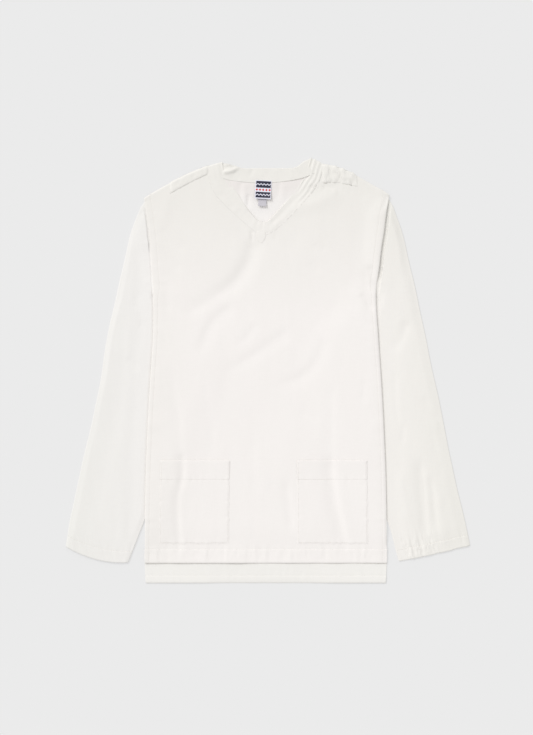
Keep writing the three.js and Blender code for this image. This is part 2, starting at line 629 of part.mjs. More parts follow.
// Sleeve: a flattened tube from the armhole to the cuff.
// Shares of the way across it, on its upper face, and on the hidden lower one.
const TOP_STOPS = [0.06, 0.15, 0.26, 0.37, 0.48, 0.59, 0.7, 0.81, 0.92];
const BOTTOM_STOPS = [0.75, 0.4, 0.12];
function sleeveRing(sleeve, ring, isArmhole) {
  const outD = readCurve(SLEEVE_OUTER, "y", "d", ring.outY) + readCurve(sleeve.spread, "y", "by", ring.outY);
  const inD = innerAt(ring.inY) - sleeve.cuffTuck * smooth(CUFF.tuckFromY, CUFF.inY, ring.inY);
  const length = Math.hypot(inD - outD, ring.inY - ring.outY);
  const bow = sleeve.cuffBow * smooth(CUFF.bowFromY, CUFF.outY, ring.outY);
  const place = (t) => {
    const y = lerp(ring.outY, ring.inY, t);
    const d = isArmhole ? halfAt(y) - ARMHOLE_TUCK : lerp(outD, inD, t);
    const sag = bow * 4 * t * (1 - t);
    return { x: CENTRE_X + sleeve.sign * d, y: y - sag };
  };
  const heights = (t) => {
    const p = place(t);
    const seamY = lerp(SLEEVE_RINGS[0].outY, SLEEVE_RINGS[0].inY, t);
    const seamX = CENTRE_X + sleeve.sign * halfAt(seamY);
    const seamTop = frontTop(seamX, seamY) - ARMHOLE_LIP - SEAM_GAP;
    return {
      top: lerp(sleeveTop(p.x, p.y), seamTop, ring.join) + ring.raise,
      bottom: ring.join * ARMHOLE_SETTLE * backUnder(seamX, seamY),
    };
  };
  const outer = [];
  const inner = [];
  const add = (t, z, lean, upper, end) => {
    const p = place(t);
    const inset = (end * WALL * Math.sin(lean)) / length;
    const q = place(t + inset);
    outer.push(new THREE.Vector3(p.x, p.y, z));
    const wall = WALL + (upper > 0 ? ring.raise : 0);
    inner.push(new THREE.Vector3(q.x, q.y, z - upper * wall * Math.cos(lean)));
  };
  // One end of the flattened ring, from the fold to flat or back. end is 1 at the outer edge.
  const addEnd = (end, upper, angles) => {
    const h = heights(end > 0 ? 0 : 1);
    const radius = (h.top - h.bottom) / 2;
    for (const angle of angles) {
      const a = angle * DEGREE;
      const inset = (radius * (1 - Math.sin(a))) / length;
      const t = end > 0 ? inset : 1 - inset;
      add(t, h.bottom + radius + upper * radius * Math.cos(a), a, upper, end);
    }
  };
  addEnd(1, 1, [90, 60, 30, 0]);
  for (const t of TOP_STOPS) add(t, heights(t).top, 0, 1, 1);
  addEnd(-1, 1, [0, 30, 60, 90]);
  addEnd(-1, -1, [60, 30, 0]);
  for (const t of BOTTOM_STOPS) add(t, heights(t).bottom, 0, -1, 1);
  addEnd(1, -1, [0, 30, 60]);
  return { outer, inner };
}

function sleeveMesh(sleeve) {
  const last = SLEEVE_RINGS[SLEEVE_RINGS.length - 1];
  const hemShare = (depth) => 1 - depth / Math.abs(CUFF.outY - last.outY);
  const hemRing = (depth, raise) => ({
    outY: lerp(last.outY, CUFF.outY, hemShare(depth)),
    inY: lerp(last.inY, CUFF.inY, hemShare(depth)),
    join: 0,
    raise,
  });
  const rings = [
    ...SLEEVE_RINGS.map((ring) => ({ ...ring, raise: 0 })),
    hemRing(CUFF.hemDepth + HEM_STEP, 0),
    hemRing(CUFF.hemDepth - HEM_STEP, HEM_RAISE),
    hemRing(0, HEM_RAISE),
  ].map((ring, i) => sleeveRing(sleeve, ring, i === 0));
  return tubeMesh(sleeve.name, CLOTH, rings.map((r) => r.outer), rings.map((r) => r.inner));
}

// Height of a panel's grid at a point, read from the cell that holds it.
const ON_EDGE = -1e-6; // shares just below 0 still count as inside a cell
function heightOn(grid, face, x, y) {
  for (let i = 0; i + 1 < grid.length; i++) {
    for (let j = 0; j + 1 < grid[0].length; j++) {
      const cell = [grid[i][j], grid[i + 1][j], grid[i + 1][j + 1], grid[i][j + 1]];
      const [a, b, c, d] = cell.map((p) => p[face]);
      for (const [p, q, r] of [[a, b, c], [a, c, d]]) {
        const area = (q.x - p.x) * (r.y - p.y) - (r.x - p.x) * (q.y - p.y);
        const s = ((x - p.x) * (r.y - p.y) - (r.x - p.x) * (y - p.y)) / area;
        const t = ((q.x - p.x) * (y - p.y) - (x - p.x) * (q.y - p.y)) / area;
        if (Math.min(s, t, 1 - s - t) >= ON_EDGE) return p.z + s * (q.z - p.z) + t * (r.z - p.z);
      }
    }
  }
  return null;
}

// A small flat piece that lies over a panel: rows from its top to its bottom, each with a share of
// the full width.
function smallPiece(name, colour, piece, wall, shape, surface) {
  const across = [-0.5, -0.25, 0, 0.25, 0.5];
  const grid = (extra) =>
    across.map((share) =>
      shape.map((row) => {
        const x = piece.x + share * piece.width * row.share;
        const y = lerp(piece.topY, piece.bottomY, row.down);
        const lift = piece.lift * row.down ** 2;
        return new THREE.Vector3(x, y, surface(x, y) + piece.clear + lift + extra);
      }),
    );
  return sheetMesh(name, colour, grid(wall), grid(0));
}

const RECTANGLE = [0, 0.3, 0.65, 1].map((down) => ({ down, share: 1 }));

const neckStops = (side) => {
  const stops = [side.neckX, side.neckX + side.sign * NECK_STEP];
  return side.sign < 0 ? stops.reverse() : stops;
};
const FRONT_STOPS = [
  -215, -202.3, -181, -163, -138, ...neckStops(SHOULDERS[0]),
  ...BAND_FRONT.map((row) => row.seamX),
  ...neckStops(SHOULDERS[1]), 133, 165, 186.1, 205,
];
const BACK_STOPS = [
  -215, -202, -181, -163, -138, ...neckStops(SHOULDERS[0]),
  ...BAND_BACK.map((row) => row.seamX).reverse(),
  ...neckStops(SHOULDERS[1]), 133, 165, 186, 205,
];
const hemLine = (y) => [y - HEM_STEP, y + HEM_STEP];
const FRONT_ROWS = [
  FRONT_HEM_Y, -343, ...hemLine(FRONT_HEM_Y + HEM_DEPTH), POCKET.bottomY, -297, -273, -249, -225,
  ...hemLine(POCKET.hemY), -184, POCKET.topY, -138, -108, -78, -48, -18, 12, 42, 72, 102, 127, PIT_Y,
];
const BACK_ROWS = [
  BACK_HEM_Y, ...hemLine(BACK_HEM_Y + HEM_DEPTH), -345, -318, -285, -250, -210, -170, -130, -90, -50,
  -12, 16, 38, 58, 78, 95, 110, 127, PIT_Y,
];

function buildSmock() {
  const frontGrid = panelGrid(1, panelColumns(BAND_FRONT, FRONT_STOPS), panelRows(FRONT_ROWS));
  const backGrid = panelGrid(-1, panelColumns(BAND_BACK, BACK_STOPS), panelRows(BACK_ROWS));
  const onFront = (x, y) => heightOn(frontGrid, "outer", x, y) ?? frontTop(x, y);
  const smock = new THREE.Group();
  smock.add(
    panelMesh("front", frontGrid),
    panelMesh("back", backGrid),
    ...SLEEVES.map((sleeve) => sleeveMesh(sleeve)),
    bandMesh(),
    ...SHOULDERS.map((side) => stripMesh(side, frontGrid, backGrid)),
    ...POCKETS.map((pocket) => pocketMesh(pocket, frontGrid)),
    smallPiece("v_patch", CLOTH, V_PATCH, WALL, V_PATCH_SHAPE, onFront),
    smallPiece("neck_label", LABEL_CLOTH, LABEL, LABEL.wall, RECTANGLE, backInside),
    smallPiece("size_tab", LABEL_CLOTH, SIZE_TAB, SIZE_TAB.wall, RECTANGLE, backInside),
  );
  return smock;
}

export default buildSmock();
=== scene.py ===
"""An off-white cotton army smock, laid flat on a pale floor and seen from straight above.

Each cloth solid of the frame is replaced by a fine shell of the same form, with the folds, hems,
puckers and sewing of the real garment. Sizes are in millimetres until a mesh is made, and in
metres in the materials and on the stage."""

import math

import bpy
import numpy as np
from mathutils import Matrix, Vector


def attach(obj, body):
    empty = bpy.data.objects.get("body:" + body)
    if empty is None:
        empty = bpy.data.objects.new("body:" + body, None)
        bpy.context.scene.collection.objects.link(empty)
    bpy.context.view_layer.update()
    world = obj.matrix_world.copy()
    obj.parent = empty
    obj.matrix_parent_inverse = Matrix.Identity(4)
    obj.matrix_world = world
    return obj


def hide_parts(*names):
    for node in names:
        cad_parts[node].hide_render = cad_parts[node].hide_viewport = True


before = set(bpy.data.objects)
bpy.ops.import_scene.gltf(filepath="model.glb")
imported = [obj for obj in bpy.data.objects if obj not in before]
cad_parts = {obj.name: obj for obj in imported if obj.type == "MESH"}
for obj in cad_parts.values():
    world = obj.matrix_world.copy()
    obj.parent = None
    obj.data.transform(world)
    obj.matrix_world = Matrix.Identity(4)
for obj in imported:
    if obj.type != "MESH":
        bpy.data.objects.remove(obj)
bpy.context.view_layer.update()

MM = 0.001

# Cloth
WALL = 1.1
SEAM_GAP = 0.3
SEWN = 0.05  # how close pieces lie at a seam
BAND_WALL = 1.6
HEM_RAISE = 0.5
HEM_TURN = 0.8  # half the width over which a hem rises beside its sewing
STEP = 3.0  # spacing of the points of a panel
COARSE_STEP = 4.0
LINE_REACH = 1.6
LINE_OFFSETS = np.array([-LINE_REACH, -0.9, -0.45, 0, 0.45, 0.9, LINE_REACH])  # beside a line of sewing
ROUND_EDGE = 0.45  # how far a cloth's rim stands out, as a share of the wall

# Body, measured from the centre line
CENTRE_X = -4
SIDE = [
    (-393.1, 221.5), (-356, 223.5), (-267, 223), (-162, 220.5), (-35, 214.5),
    (60, 208), (141.5, 203.7), (190, 209.6), (267, 217.6), (318, 225),
]
PIT_Y = 141.5
TIP_Y = 318
FRONT_HEM_Y = -356.1
BACK_HEM_Y = -393.1
FRONT_STITCH_Y = FRONT_HEM_Y + 25
BACK_STITCH_Y = BACK_HEM_Y + 13
VENT_TOP_Y = -318
VENT_FADE = 14

# Shoulders
SHOULDERS = {
    -1: dict(neck_x=-112.8, neck_y=376.5, bulge=4, strip_end=-181, drop=15, end_drop=20),
    1: dict(neck_x=103.7, neck_y=380.2, bulge=11, strip_end=165, drop=34, end_drop=20),
}
NECK_STEP = 1.5
NECK_SET = 2.6
NECK_DROP = 18
NECK_DROP_FADE = 40

# Neck band: (seam x, seam y, free x, free y), round the front, then back along the nape
BAND_FRONT = [
    (-108.5, 350, -81.3, 363.5), (-97, 326.5, -67.5, 343.2), (-84, 311, -57.5, 329),
    (-71, 298, -48.5, 315), (-55, 284, -38.8, 298.8), (-36, 267, -25.8, 283.1),
    (-22, 256.5, -17.5, 276.2), (-9.2, 250, -8.2, 273), (4, 254.5, 1.5, 276.8),
    (18, 264, 10.3, 285.5), (36, 280.5, 24.5, 300.5), (53.5, 298.5, 39, 317.5),
    (66, 312, 49.5, 330.5), (80, 327.5, 60.8, 345.5), (94, 350, 71.5, 361.7),
]
BAND_BACK = [
    (84, 364.5, 66, 385), (66, 357, 52, 375), (40, 351.5, 36, 372.8), (10, 348, 10, 372.8),
    (-20, 347.3, -20, 372.8), (-48, 349.3, -46, 372.8), (-72, 352.5, -61, 377),
    (-95, 360.5, -75, 381),
]
BAND_FOLDS = {-1: (-85, 384.8), 1: (80, 393.1)}
BAND_RAISE = 0.3
BAND_LAP = 1.4

# Pockets: (name, from, to) as shares of the half width
POCKETS = [("pocket_left", -0.8815, -0.302), ("pocket_right", 0.26, 0.845)]
POCKET_BOTTOM = -321
POCKET_HEM = -201.7
POCKET_TOP = -166.5
MOUTH_LIFT = 0.4
POCKET_HEM_RAISE = 0.25
POCKET_WALL = 0.5  # pressed flat by sewing and ironing

# Sleeves, from the centre line: the outer edge and the underarm edge
SLEEVE_OUTER = [
    (318, 224.5), (251, 250), (183, 265.5), (69, 291.4), (-30, 307.5),
    (-113, 325), (-180, 341), (-263, 359), (-325.6, 370.2),
]
SLEEVE_INNER = [
    (176, 242), (160, 222), (143, 204.5), (139, 202.5), (133, 201), (128, 199), (121, 195.5),
    (112, 188), (98, 175), (80, 158), (58, 142), (32, 131), (-5, 132), (-50, 145),
    (-140, 173), (-215, 199), (-275, 223), (-316, 239), (-355, 254),
]
# Rings: (outer y, underarm y, how far it follows the armhole)
SLEEVE_RINGS = [
    (314, 143, 1), (297, 141.2, 0.55), (272, 139.4, 0.2), (244, 137.6, 0), (214, 135.8, 0),
    (184, 134, 0), (154, 131.6, 0), (126, 128, 0), (100, 121, 0), (75, 111, 0), (50, 98, 0),
    (25, 80, 0), (-2, 58, 0), (-30, 31, 0), (-63, -6, 0), (-99, -50, 0), (-135, -96, 0),
    (-170, -142, 0), (-203, -187, 0), (-233, -230, 0), (-261, -273, 0), (-287, -316, 0),
]
CUFF_OUT_Y = -325.6
CUFF_IN_Y = -355
CUFF_HEM = 20
CUFF_BOW = {-1: 9.5, 1: 1.5}
CUFF_RAISE = {-1: 0, 1: 2.2}
SLEEVE_SPREAD = {
    -1: [(-326, 0), (318, 0)],
    1: [
        (318, 0), (270, 3), (220, 2.8), (165, 3.8), (111, 2.6), (60, 2.4), (0, 5.5), (-55, 8),
        (-110, 7), (-160, 4.8), (-250, 4.8), (-305, 7.5), (-326, 8),
    ],
}

# Heights above the floor
SLEEVE_HIDDEN = 2.8
SLEEVE_LOFT = 4.6
BACK_OVER_SLEEVE = SLEEVE_HIDDEN + SEAM_GAP
STRIP_STACK = WALL + SEAM_GAP
FRONT_MID = 5.2
FRONT_EDGE = 7.4
FRONT_SHOULDER = 6
FRONT_HEM = 2.6
NECK_SINK = 1.1
ROLL = 4
BACK_HEM_LIFT = 1.1  # at the ends of the back hem
ARMHOLE_TUCK = 1.1
ARMHOLE_LIP = {-1: 1.5, 1: 2.2}
ARMHOLE_RAISE = 2.7
PULLED_DOWN = 1.1  # how much lower the front lies at its lower right
BACK_SET = 1.8
SLEEVE_EDGE = {-1: 3.1, 1: 2.5}
SLEEVE_RIM = {-1: 13, 1: 22}

# Where the garment lies a little further out: (x, y, reach in x, reach in y, shift in x, in y)
EASED = [(-209, 140, 24, 52, -4.4, 0), (216, 262, 20, 34, 2.4, 0), (222, 320, 34, 28, 3.6, 5)]

STRIPS = {-1: "strip_left", 1: "strip_right"}
SLEEVES = {-1: "sleeve_cloth_left", 1: "sleeve_cloth_right"}

# How far the front hem lifts off the back panel along its length: (x, lift)
HEM_LIFT = [
    (-222, 1.6), (-203, 1.4), (-185, 0.5), (-166, 1.5), (-148, 1.2), (-129, 0.9), (-92, 0.9),
    (-55, 1.9), (-37, 1.0), (-18, 0.3), (19, 0.25), (37, 1.3), (56, 0.7), (74, 0.8), (93, 0.1),
    (111, 0.8), (130, 1.3), (148, 0.3), (167, 0.3), (185, 0.5), (216, 0.9),
]


def lerp(a, b, t):
    return a + (b - a) * t


def ease(t):
    """A share between 0 and 1, soft at both ends."""
    t = np.clip(t, 0, 1)
    return t * t * (3 - 2 * t)


def smooth(a, b, value):
    """0 up to a, 1 from b on, and a soft change between. Where it is used below with numbers, they
    are places or distances in millimetres."""
    return ease((np.asarray(value, float) - a) / (b - a))


def bell(distance, width):
    """1 at no distance, fading to both sides."""
    return np.exp(-((distance / width) ** 2))


def read_curve(rows, at):
    """The value of a smooth curve through (place, value) rows."""
    keys, values = np.array(sorted(rows), float).T
    slopes = np.empty_like(keys)
    slopes[1:-1] = (values[2:] - values[:-2]) / (keys[2:] - keys[:-2])
    slopes[0] = (values[1] - values[0]) / (keys[1] - keys[0])
    slopes[-1] = (values[-1] - values[-2]) / (keys[-1] - keys[-2])
    at = np.clip(np.asarray(at, float), keys[0], keys[-1])
    i = np.clip(np.searchsorted(keys, at, side="right") - 1, 0, len(keys) - 2)
    span = keys[i + 1] - keys[i]
    t = (at - keys[i]) / span
    return (
        (2 * t**3 - 3 * t**2 + 1) * values[i]
        + (t**3 - 2 * t**2 + t) * span * slopes[i]
        + (3 * t**2 - 2 * t**3) * values[i + 1]
        + (t**3 - t**2) * span * slopes[i + 1]
    )


LATTICE = np.random.default_rng(7).uniform(-1, 1, (97, 97))


def noise(x, y, size, shift=0):
    """Smooth noise between -1 and 1, with features about as wide as size."""
    u = np.asarray(x, float) / size + 31.7 * shift
    v = np.asarray(y, float) / size + 17.3 * shift
    i, j = np.floor(u).astype(int), np.floor(v).astype(int)
    s, t = u - i, v - j
    s, t = s**3 * (s * (s * 6 - 15) + 10), t**3 * (t * (t * 6 - 15) + 10)
    at = lambda a, b: LATTICE[a % 97, b % 97]
    return lerp(lerp(at(i, j), at(i + 1, j), s), lerp(at(i, j + 1), at(i + 1, j + 1), s), t)


def smooth_rows(rows, each, keys=()):
    """Rows of a table with smooth ones added, each so many between two."""
    rows = np.array(rows, float)
    places = np.arange(len(rows))
    fine = subdivide(keys or [0, places[-1]], 1 / each)
    columns = [read_curve(list(zip(places, column)), fine) for column in rows.T]
    return np.array([*columns, fine]).T


def subdivide(keys, step):
    """The keys in order, with points between them no further apart than step."""
    out = []
    for a, b in zip(keys[:-1], keys[1:]):
        count = max(1, math.ceil(abs(b - a) / step - 1e-6))
        out += [a + (b - a) * k / count for k in range(count)]
    return np.array(out + [keys[-1]], float)


def rows_past(line, start, end, before, after):
    """Rows from start to end, closer together beside the line of sewing between them."""
    return np.unique(np.concatenate([
        subdivide([start, line - LINE_REACH], before), line + LINE_OFFSETS,
        subdivide([line + LINE_REACH, end], after),
    ]).round(3))


# Form of the garment
def half_at(y):
    return read_curve(SIDE, y)


def inner_at(y):
    return read_curve(SLEEVE_INNER, y)


def off_centre(x):
    return np.abs(x - CENTRE_X)


def outline_at(band_rows, x):
    """Top outline of a panel: the shoulders, and the seam of the neck band between them."""
    x = np.asarray(x, float)
    necks = [(side["neck_x"], side["neck_y"] - NECK_SET) for side in SHOULDERS.values()]
    top = np.interp(x, *np.array(sorted([row[:2] for row in band_rows] + necks)).T)
    for sign, side in SHOULDERS.items():
        tip_x = CENTRE_X + sign * half_at(TIP_Y)
        share = (x - side["neck_x"]) / (tip_x - side["neck_x"])
        line = lerp(side["neck_y"], TIP_Y, share) + side["bulge"] * 4 * share * (1 - share)
        top = np.where(share > 1e-6, line, top)
    return top


def back_under(x, y):
    """Underside of the back panel: on the floor, over the tucked sleeves or over the strips."""
    low = smooth(-265, -300, y)
    start, end = inner_at(y) - lerp(46, 27, low), inner_at(y) - lerp(20, 5, low)
    sleeve = BACK_OVER_SLEEVE * ease((off_centre(x) - start) / (end - start))
    strip = STRIP_STACK * smooth(62, 40, outline_at(BAND_BACK, x) - y)
    return np.maximum(sleeve, strip)


def front_level(x, y):
    """Upper face of the front panel, before folds."""
    edge = lerp(FRONT_EDGE, FRONT_SHOULDER, smooth(120, 230, y))
    across = lerp(FRONT_MID, edge, ease((off_centre(x) - inner_at(y) + 75) / 70))
    across = across - NECK_SINK * smooth(200, 260, y) * smooth(105, 50, off_centre(x))
    return lerp(across, FRONT_HEM, smooth(-288, -350, y))


# Folds: (x0, y0, by x1, y1, to x2, y2, rise, width on the left, width on the right). Left and
# right are as seen when walking from the first point to the last.
FRONT_FOLDS = [
    (-27, 240, -32, 176, -96, 136, -2.7, 17, 13),
    (-84, 150, -112, 122, -156, 104, -1.1, 11, 14),
    (-66, 116, -118, 92, -126, 20, -1.25, 15, 10),
    (-22, 84, -36, 60, -62, 44, -0.6, 9, 8),
    (38, 74, -4, 40, -80, -6, -0.95, 13, 10),
    (102, 58, 94, -20, 8, -28, -1.0, 13, 10),
    (-196, 262, -176, 236, -150, 222, -0.6, 7, 9),
    (-200, 226, -176, 196, -158, 186, -0.5, 7, 9),
    (217, 317, 213, 306, 209, 294, -1.8, 3.5, 3),
    (-226, 315, -222, 308, -217, 300, -1.4, 2.2, 2.2),
    (98, 340, 108, 339, 120, 337, -0.9, 2.5, 3),
    (76, 340, 86, 339, 96, 338, -1.6, 1.8, 1.8),
    (-178, 0, -158, -120, -161, -250, -0.8, 8, 12),
    (-160, -156, -152, -190, -166, -228, -1.5, 6, 8),
    (-166, -222, -172, -270, -158, -352, -1.5, 6, 9),
    (118, -30, 117, -90, 116, -170, -0.7, 8, 12),
    (115, -164, 118, -240, 149, -345, -2.6, 8, 15),
    (35, -205, 38, -260, 46, -305, -1.1, 7, 10),
    (-30, -130, -27, -190, -20, -230, -0.5, 8, 14),
    (184, 196, 178, 142, 193, 96, -1.3, 12, 8),
    (189, 193, 194, 167, 198, 142, -1.5, 9, 5),
    (172, 140, 183, 126, 195, 109, -1.1, 5, 5),
    (46, 299, 92, 308, 136, 330, 1.2, 9, 14),
    (86, 233, 96, 226, 108, 218, -0.5, 7, 6),
    (78, 198, 84, 190, 94, 180, -0.4, 7, 6),
    (30, 240, 38, 218, 43, 194, -0.35, 7, 8),
    (-30, 258, -30, 248, -29.5, 236, -1.5, 2.2, 2.2),
    (14, 254, 14, 246, 14, 238, -0.5, 2.5, 2.5),
    (176, -20, 180, -40, 174, -62, -0.5, 6, 8),
    (-176, 330, -190, 300, -196, 262, 0.6, 10, 12),
    (182, 320, 196, 296, 200, 262, 0.5, 10, 12),
    (60, -80, 84, -78, 92, -98, -0.35, 8, 7),
    (-190, 160, -182, 130, -186, 100, -0.7, 9, 8),
    (-110, -60, -100, -120, -104, -170, -0.35, 9, 12),
    (70, -60, 64, -110, 68, -160, -0.3, 9, 12),
]
BACK_FOLDS = [
    (-51, 347, -53, 334, -52, 318, -0.9, 5, 4),
    (-44, 344, -44, 325, -40, 296, 0.8, 6, 5),
    (-36, 324, -37, 312, -38, 298, -1.6, 3, 3),
    (21, 346, 20, 332, 18, 314, -0.7, 3, 4),
    (30, 344, 28, 322, 24, 306, 0.6, 6, 6),
]
UNDER_FOLDS = [
    (-30, 300, -60, 150, -40, -60, 0.9, 14, 10),
    (60, 260, 40, 100, 70, -100, 0.8, 12, 16),
    (-90, -40, -70, -200, -100, -360, 0.9, 10, 16),
    (20, -60, 30, -200, 10, -330, 0.7, 14, 10),
    (110, -120, 120, -240, 100, -370, 0.8, 12, 12),
]
SLEEVE_FOLDS = [
    (281, -170, 288, -250, 293, -330, -2.2, 7, 12),
    (256, 88, 250, 60, 232, 34, -1.2, 8, 12),
    (234, -8, 236, -60, 240, -116, -0.7, 6, 8),
    (250, -100, 252, -120, 247, -138, -0.7, 5, 6),
    (288, -50, 304, -80, 316, -96, -0.9, 8, 10),
    (300, -110, 318, -160, 326, -200, -0.6, 8, 12),
    (262, 170, 258, 130, 266, 90, 0.5, 12, 14),
    (300, -200, 308, -250, 312, -300, -1.7, 6, 9),
    (244, -190, 250, -240, 262, -290, 0.8, 8, 10),
    (316, -230, 322, -280, 330, -325, 0.6, 8, 8),
    (-238, 142, -246, 128, -244, 110, -0.5, 8, 8),
    (-238, 84, -228, 82, -214, 70, -0.5, 8, 7),
    (-258, 22, -248, 14, -236, -2, -0.5, 8, 8),
    (-262, 30, -276, -60, -292, -150, -0.7, 14, 18),
    (-300, -150, -312, -220, -322, -290, -0.5, 14, 18),
]
FOLD_STEPS = 24


def relief(folds, x, y):
    """Height that a set of folds adds."""
    total = np.zeros(np.broadcast(x, y).shape)
    t = np.linspace(0, 1, FOLD_STEPS + 1)
    for x0, y0, x1, y1, x2, y2, rise, left, right in folds:
        cx = lerp(lerp(x0, x1, t), lerp(x1, x2, t), t)
        cy = lerp(lerp(y0, y1, t), lerp(y1, y2, t), t)
        reach = 3 * max(left, right)
        near = (
            (x > cx.min() - reach) & (x < cx.max() + reach)
            & (y > cy.min() - reach) & (y < cy.max() + reach)
        )
        if not near.any():
            continue
        px, py = x[near], y[near]
        nearest = np.argmin((px[:, None] - cx) ** 2 + (py[:, None] - cy) ** 2, axis=1)
        tx, ty = np.gradient(cx), np.gradient(cy)
        length = np.hypot(tx, ty)
        tx, ty = tx / length, ty / length
        dx, dy = px - cx[nearest], py - cy[nearest]
        side = tx[nearest] * dy - ty[nearest] * dx
        along = (nearest + (tx[nearest] * dx + ty[nearest] * dy) / length[nearest]) / FOLD_STEPS
        width = np.where(side > 0, left, right)
        fade = smooth(-0.1, 0.14, along) * smooth(1.08, 0.7, along)
        total[near] += rise * fade * bell(side, width)
    return total


def pucker(along, across, reach, length, rise, shift):
    """Short ripples that run square to a line of sewing and die away beside it."""
    wave = noise(along, 0 * along, length, shift)
    wave = wave + 0.5 * noise(along, across * 0.3, length * 0.45, shift + 3)
    return rise * wave * bell(across, reach)


def groove(across, depth=0.2, width=0.9):
    return -depth * bell(across, width)


def hem(past):
    """Rise of a turned hem, by how far a place lies past its sewing."""
    return HEM_RAISE * smooth(-HEM_TURN, HEM_TURN, past) + groove(past)


def crumple(x, y, amount, shift=0):
    """The soft unevenness of cloth that has been washed and smoothed out by hand."""
    return amount * (
        0.8 * noise(x, y, 95, shift)
        + 0.3 * noise(x, y * 0.35, 26, shift + 1)
        + 0.2 * noise(x, y * 0.25, 11, shift + 2)
    )


def side_line(y):
    """Distance of the topstitch from the panel's side edge: beside the armhole, then the seam."""
    return lerp(8, 12, smooth(PIT_Y - 10, PIT_Y + 20, y))


def front_height(x, y):
    """Upper face of the front panel with its folds, hem and sewing."""
    inset = half_at(y) - off_centre(x)
    from_line = inset - side_line(y)
    z = front_level(x, y) + relief(FRONT_FOLDS, x, y) + crumple(x, y, 0.5)
    z += hem(FRONT_STITCH_Y - y) + pucker(x, y - FRONT_STITCH_Y + 8, 16, 6.5, 0.55, 1)
    z += 0.75 * read_curve(HEM_LIFT, x) * smooth(FRONT_HEM_Y + 48, FRONT_HEM_Y, y)
    beside_armhole = smooth(38, 8, inset) * smooth(146, 196, y) * smooth(322, 290, y)
    z += ARMHOLE_RAISE * beside_armhole * (x > CENTRE_X)
    z -= PULLED_DOWN * smooth(60, 180, x) * smooth(-110, -200, y) * smooth(-345, -290, y)
    z += groove(from_line) + pucker(y, from_line, 9, 8, 0.22, 2) + pucker(y, inset, 26, 24, 0.3, 3)
    neck = outline_at(BAND_FRONT, x) - y
    z += pucker(x + y, neck, 12, 8, 0.42, 4) * smooth(110, 90, off_centre(x))
    z += 0.7 * noise(x, y * 0.5, 7, 22) * bell(x - 128, 34) * bell(y - 334, 12)
    return z


def back_inside(x, y):
    """The face of the back panel that looks up, with its hem and the folds inside the neck."""
    z = back_under(x, y) + WALL + 1.2 * smooth(300, 330, y) + relief(BACK_FOLDS, x, y)
    at_ends = smooth(70, 130, off_centre(x))
    z += BACK_HEM_LIFT * at_ends * smooth(BACK_HEM_Y + 40, BACK_HEM_Y, y)
    z -= 0.6 * (1 - at_ends) * smooth(BACK_HEM_Y + 7, BACK_HEM_Y, y)
    z += hem(BACK_STITCH_Y - y) + pucker(x, y - BACK_STITCH_Y - 2, 12, 6, 0.32, 5)
    z += 0.3 * np.abs(crumple(x, y, 1, 5)) + groove(outline_at(BAND_BACK, x) - y, 0.5, 1.3)
    return z


def back_outside(x, y):
    """The face of the back panel that looks down. It lies flat where it rests."""
    lift = BACK_HEM_LIFT * smooth(70, 130, off_centre(x)) * smooth(BACK_HEM_Y + 40, BACK_HEM_Y, y)
    return back_under(x, y) + lift + np.maximum(0, relief(UNDER_FOLDS, x, y) + crumple(x, y, 0.25, 6))


# Mesh making
def eased(points):
    """The points, moved where the garment lies a little further out."""
    moved = points.copy()
    for x, y, reach_x, reach_y, shift_x, shift_y in EASED:
        near = bell(points[:, 0] - x, reach_x) * bell(points[:, 1] - y, reach_y)
        moved[:, 0] += shift_x * near
        moved[:, 1] += shift_y * near
    return moved


def unit(vectors):
    return vectors / np.maximum(np.linalg.norm(vectors, axis=-1, keepdims=True), 1e-9)


def add_object(name, points, quads):
    """A smooth mesh object with its faces turned outwards."""
    points = eased(np.asarray(points, float))
    quads = np.asarray(quads)
    a, b, c, d = (points[quads[:, k]] for k in range(4))
    volume = (a * np.cross(b, c)).sum() + (a * np.cross(c, d)).sum()
    if volume < 0:
        quads = quads[:, ::-1]
    mesh = bpy.data.meshes.new(name)
    mesh.from_pydata((points * MM).tolist(), [], quads.tolist())
    mesh.validate()
    mesh.shade_smooth()
    piece = bpy.data.objects.new(name, mesh)
    bpy.context.scene.collection.objects.link(piece)
    return piece


def shell(name, outer, inner, tube=False):
    """A sheet of cloth between two grids of points, or a tube that is open at both ends. Its rims
    are rounded like a fold."""
    n, m = outer.shape[:2]
    index = np.arange(n * m).reshape(n, m)
    if tube:
        rims = [(index[0, ::-1], unit(outer[0] - outer[1])[::-1]), (index[-1], unit(outer[-1] - outer[-2]))]
        index = np.hstack([index, index[:, :1]])
    else:
        rim = np.concatenate([index[0, :-1], index[:-1, -1], index[-1, :0:-1], index[:0:-1, 0]])
        normal = unit(np.cross(np.gradient(outer, axis=0), np.gradient(outer, axis=1)))
        edge = outer.reshape(-1, 3)[rim]
        along = unit(np.roll(edge, -1, 0) - np.roll(edge, 1, 0))
        rims = [(rim, unit(np.cross(normal.reshape(-1, 3)[rim], along)))]
    cell = np.stack([index[:-1, :-1], index[1:, :-1], index[1:, 1:], index[:-1, 1:]], -1).reshape(-1, 4)
    cell = cell[:, [0, 3, 2, 1]] if tube else cell
    outer, inner = outer.reshape(-1, 3), inner.reshape(-1, 3)
    points, quads = [outer, inner], [cell, cell[:, ::-1] + n * m]
    base = 2 * n * m
    for rim, outwards in rims:
        wall = np.linalg.norm(outer[rim] - inner[rim], axis=1)[:, None]
        points.append((outer[rim] + inner[rim]) / 2 + outwards * wall * ROUND_EDGE)
        middle = base + np.arange(len(rim))
        next_rim, next_middle = np.roll(rim, -1), np.roll(middle, -1)
        quads.append(np.stack([rim, next_rim, next_middle, middle], -1))
        quads.append(np.stack([middle, next_middle, next_rim + n * m, rim + n * m], -1))
        base += len(rim)
    return add_object(name, np.concatenate(points), np.concatenate(quads))


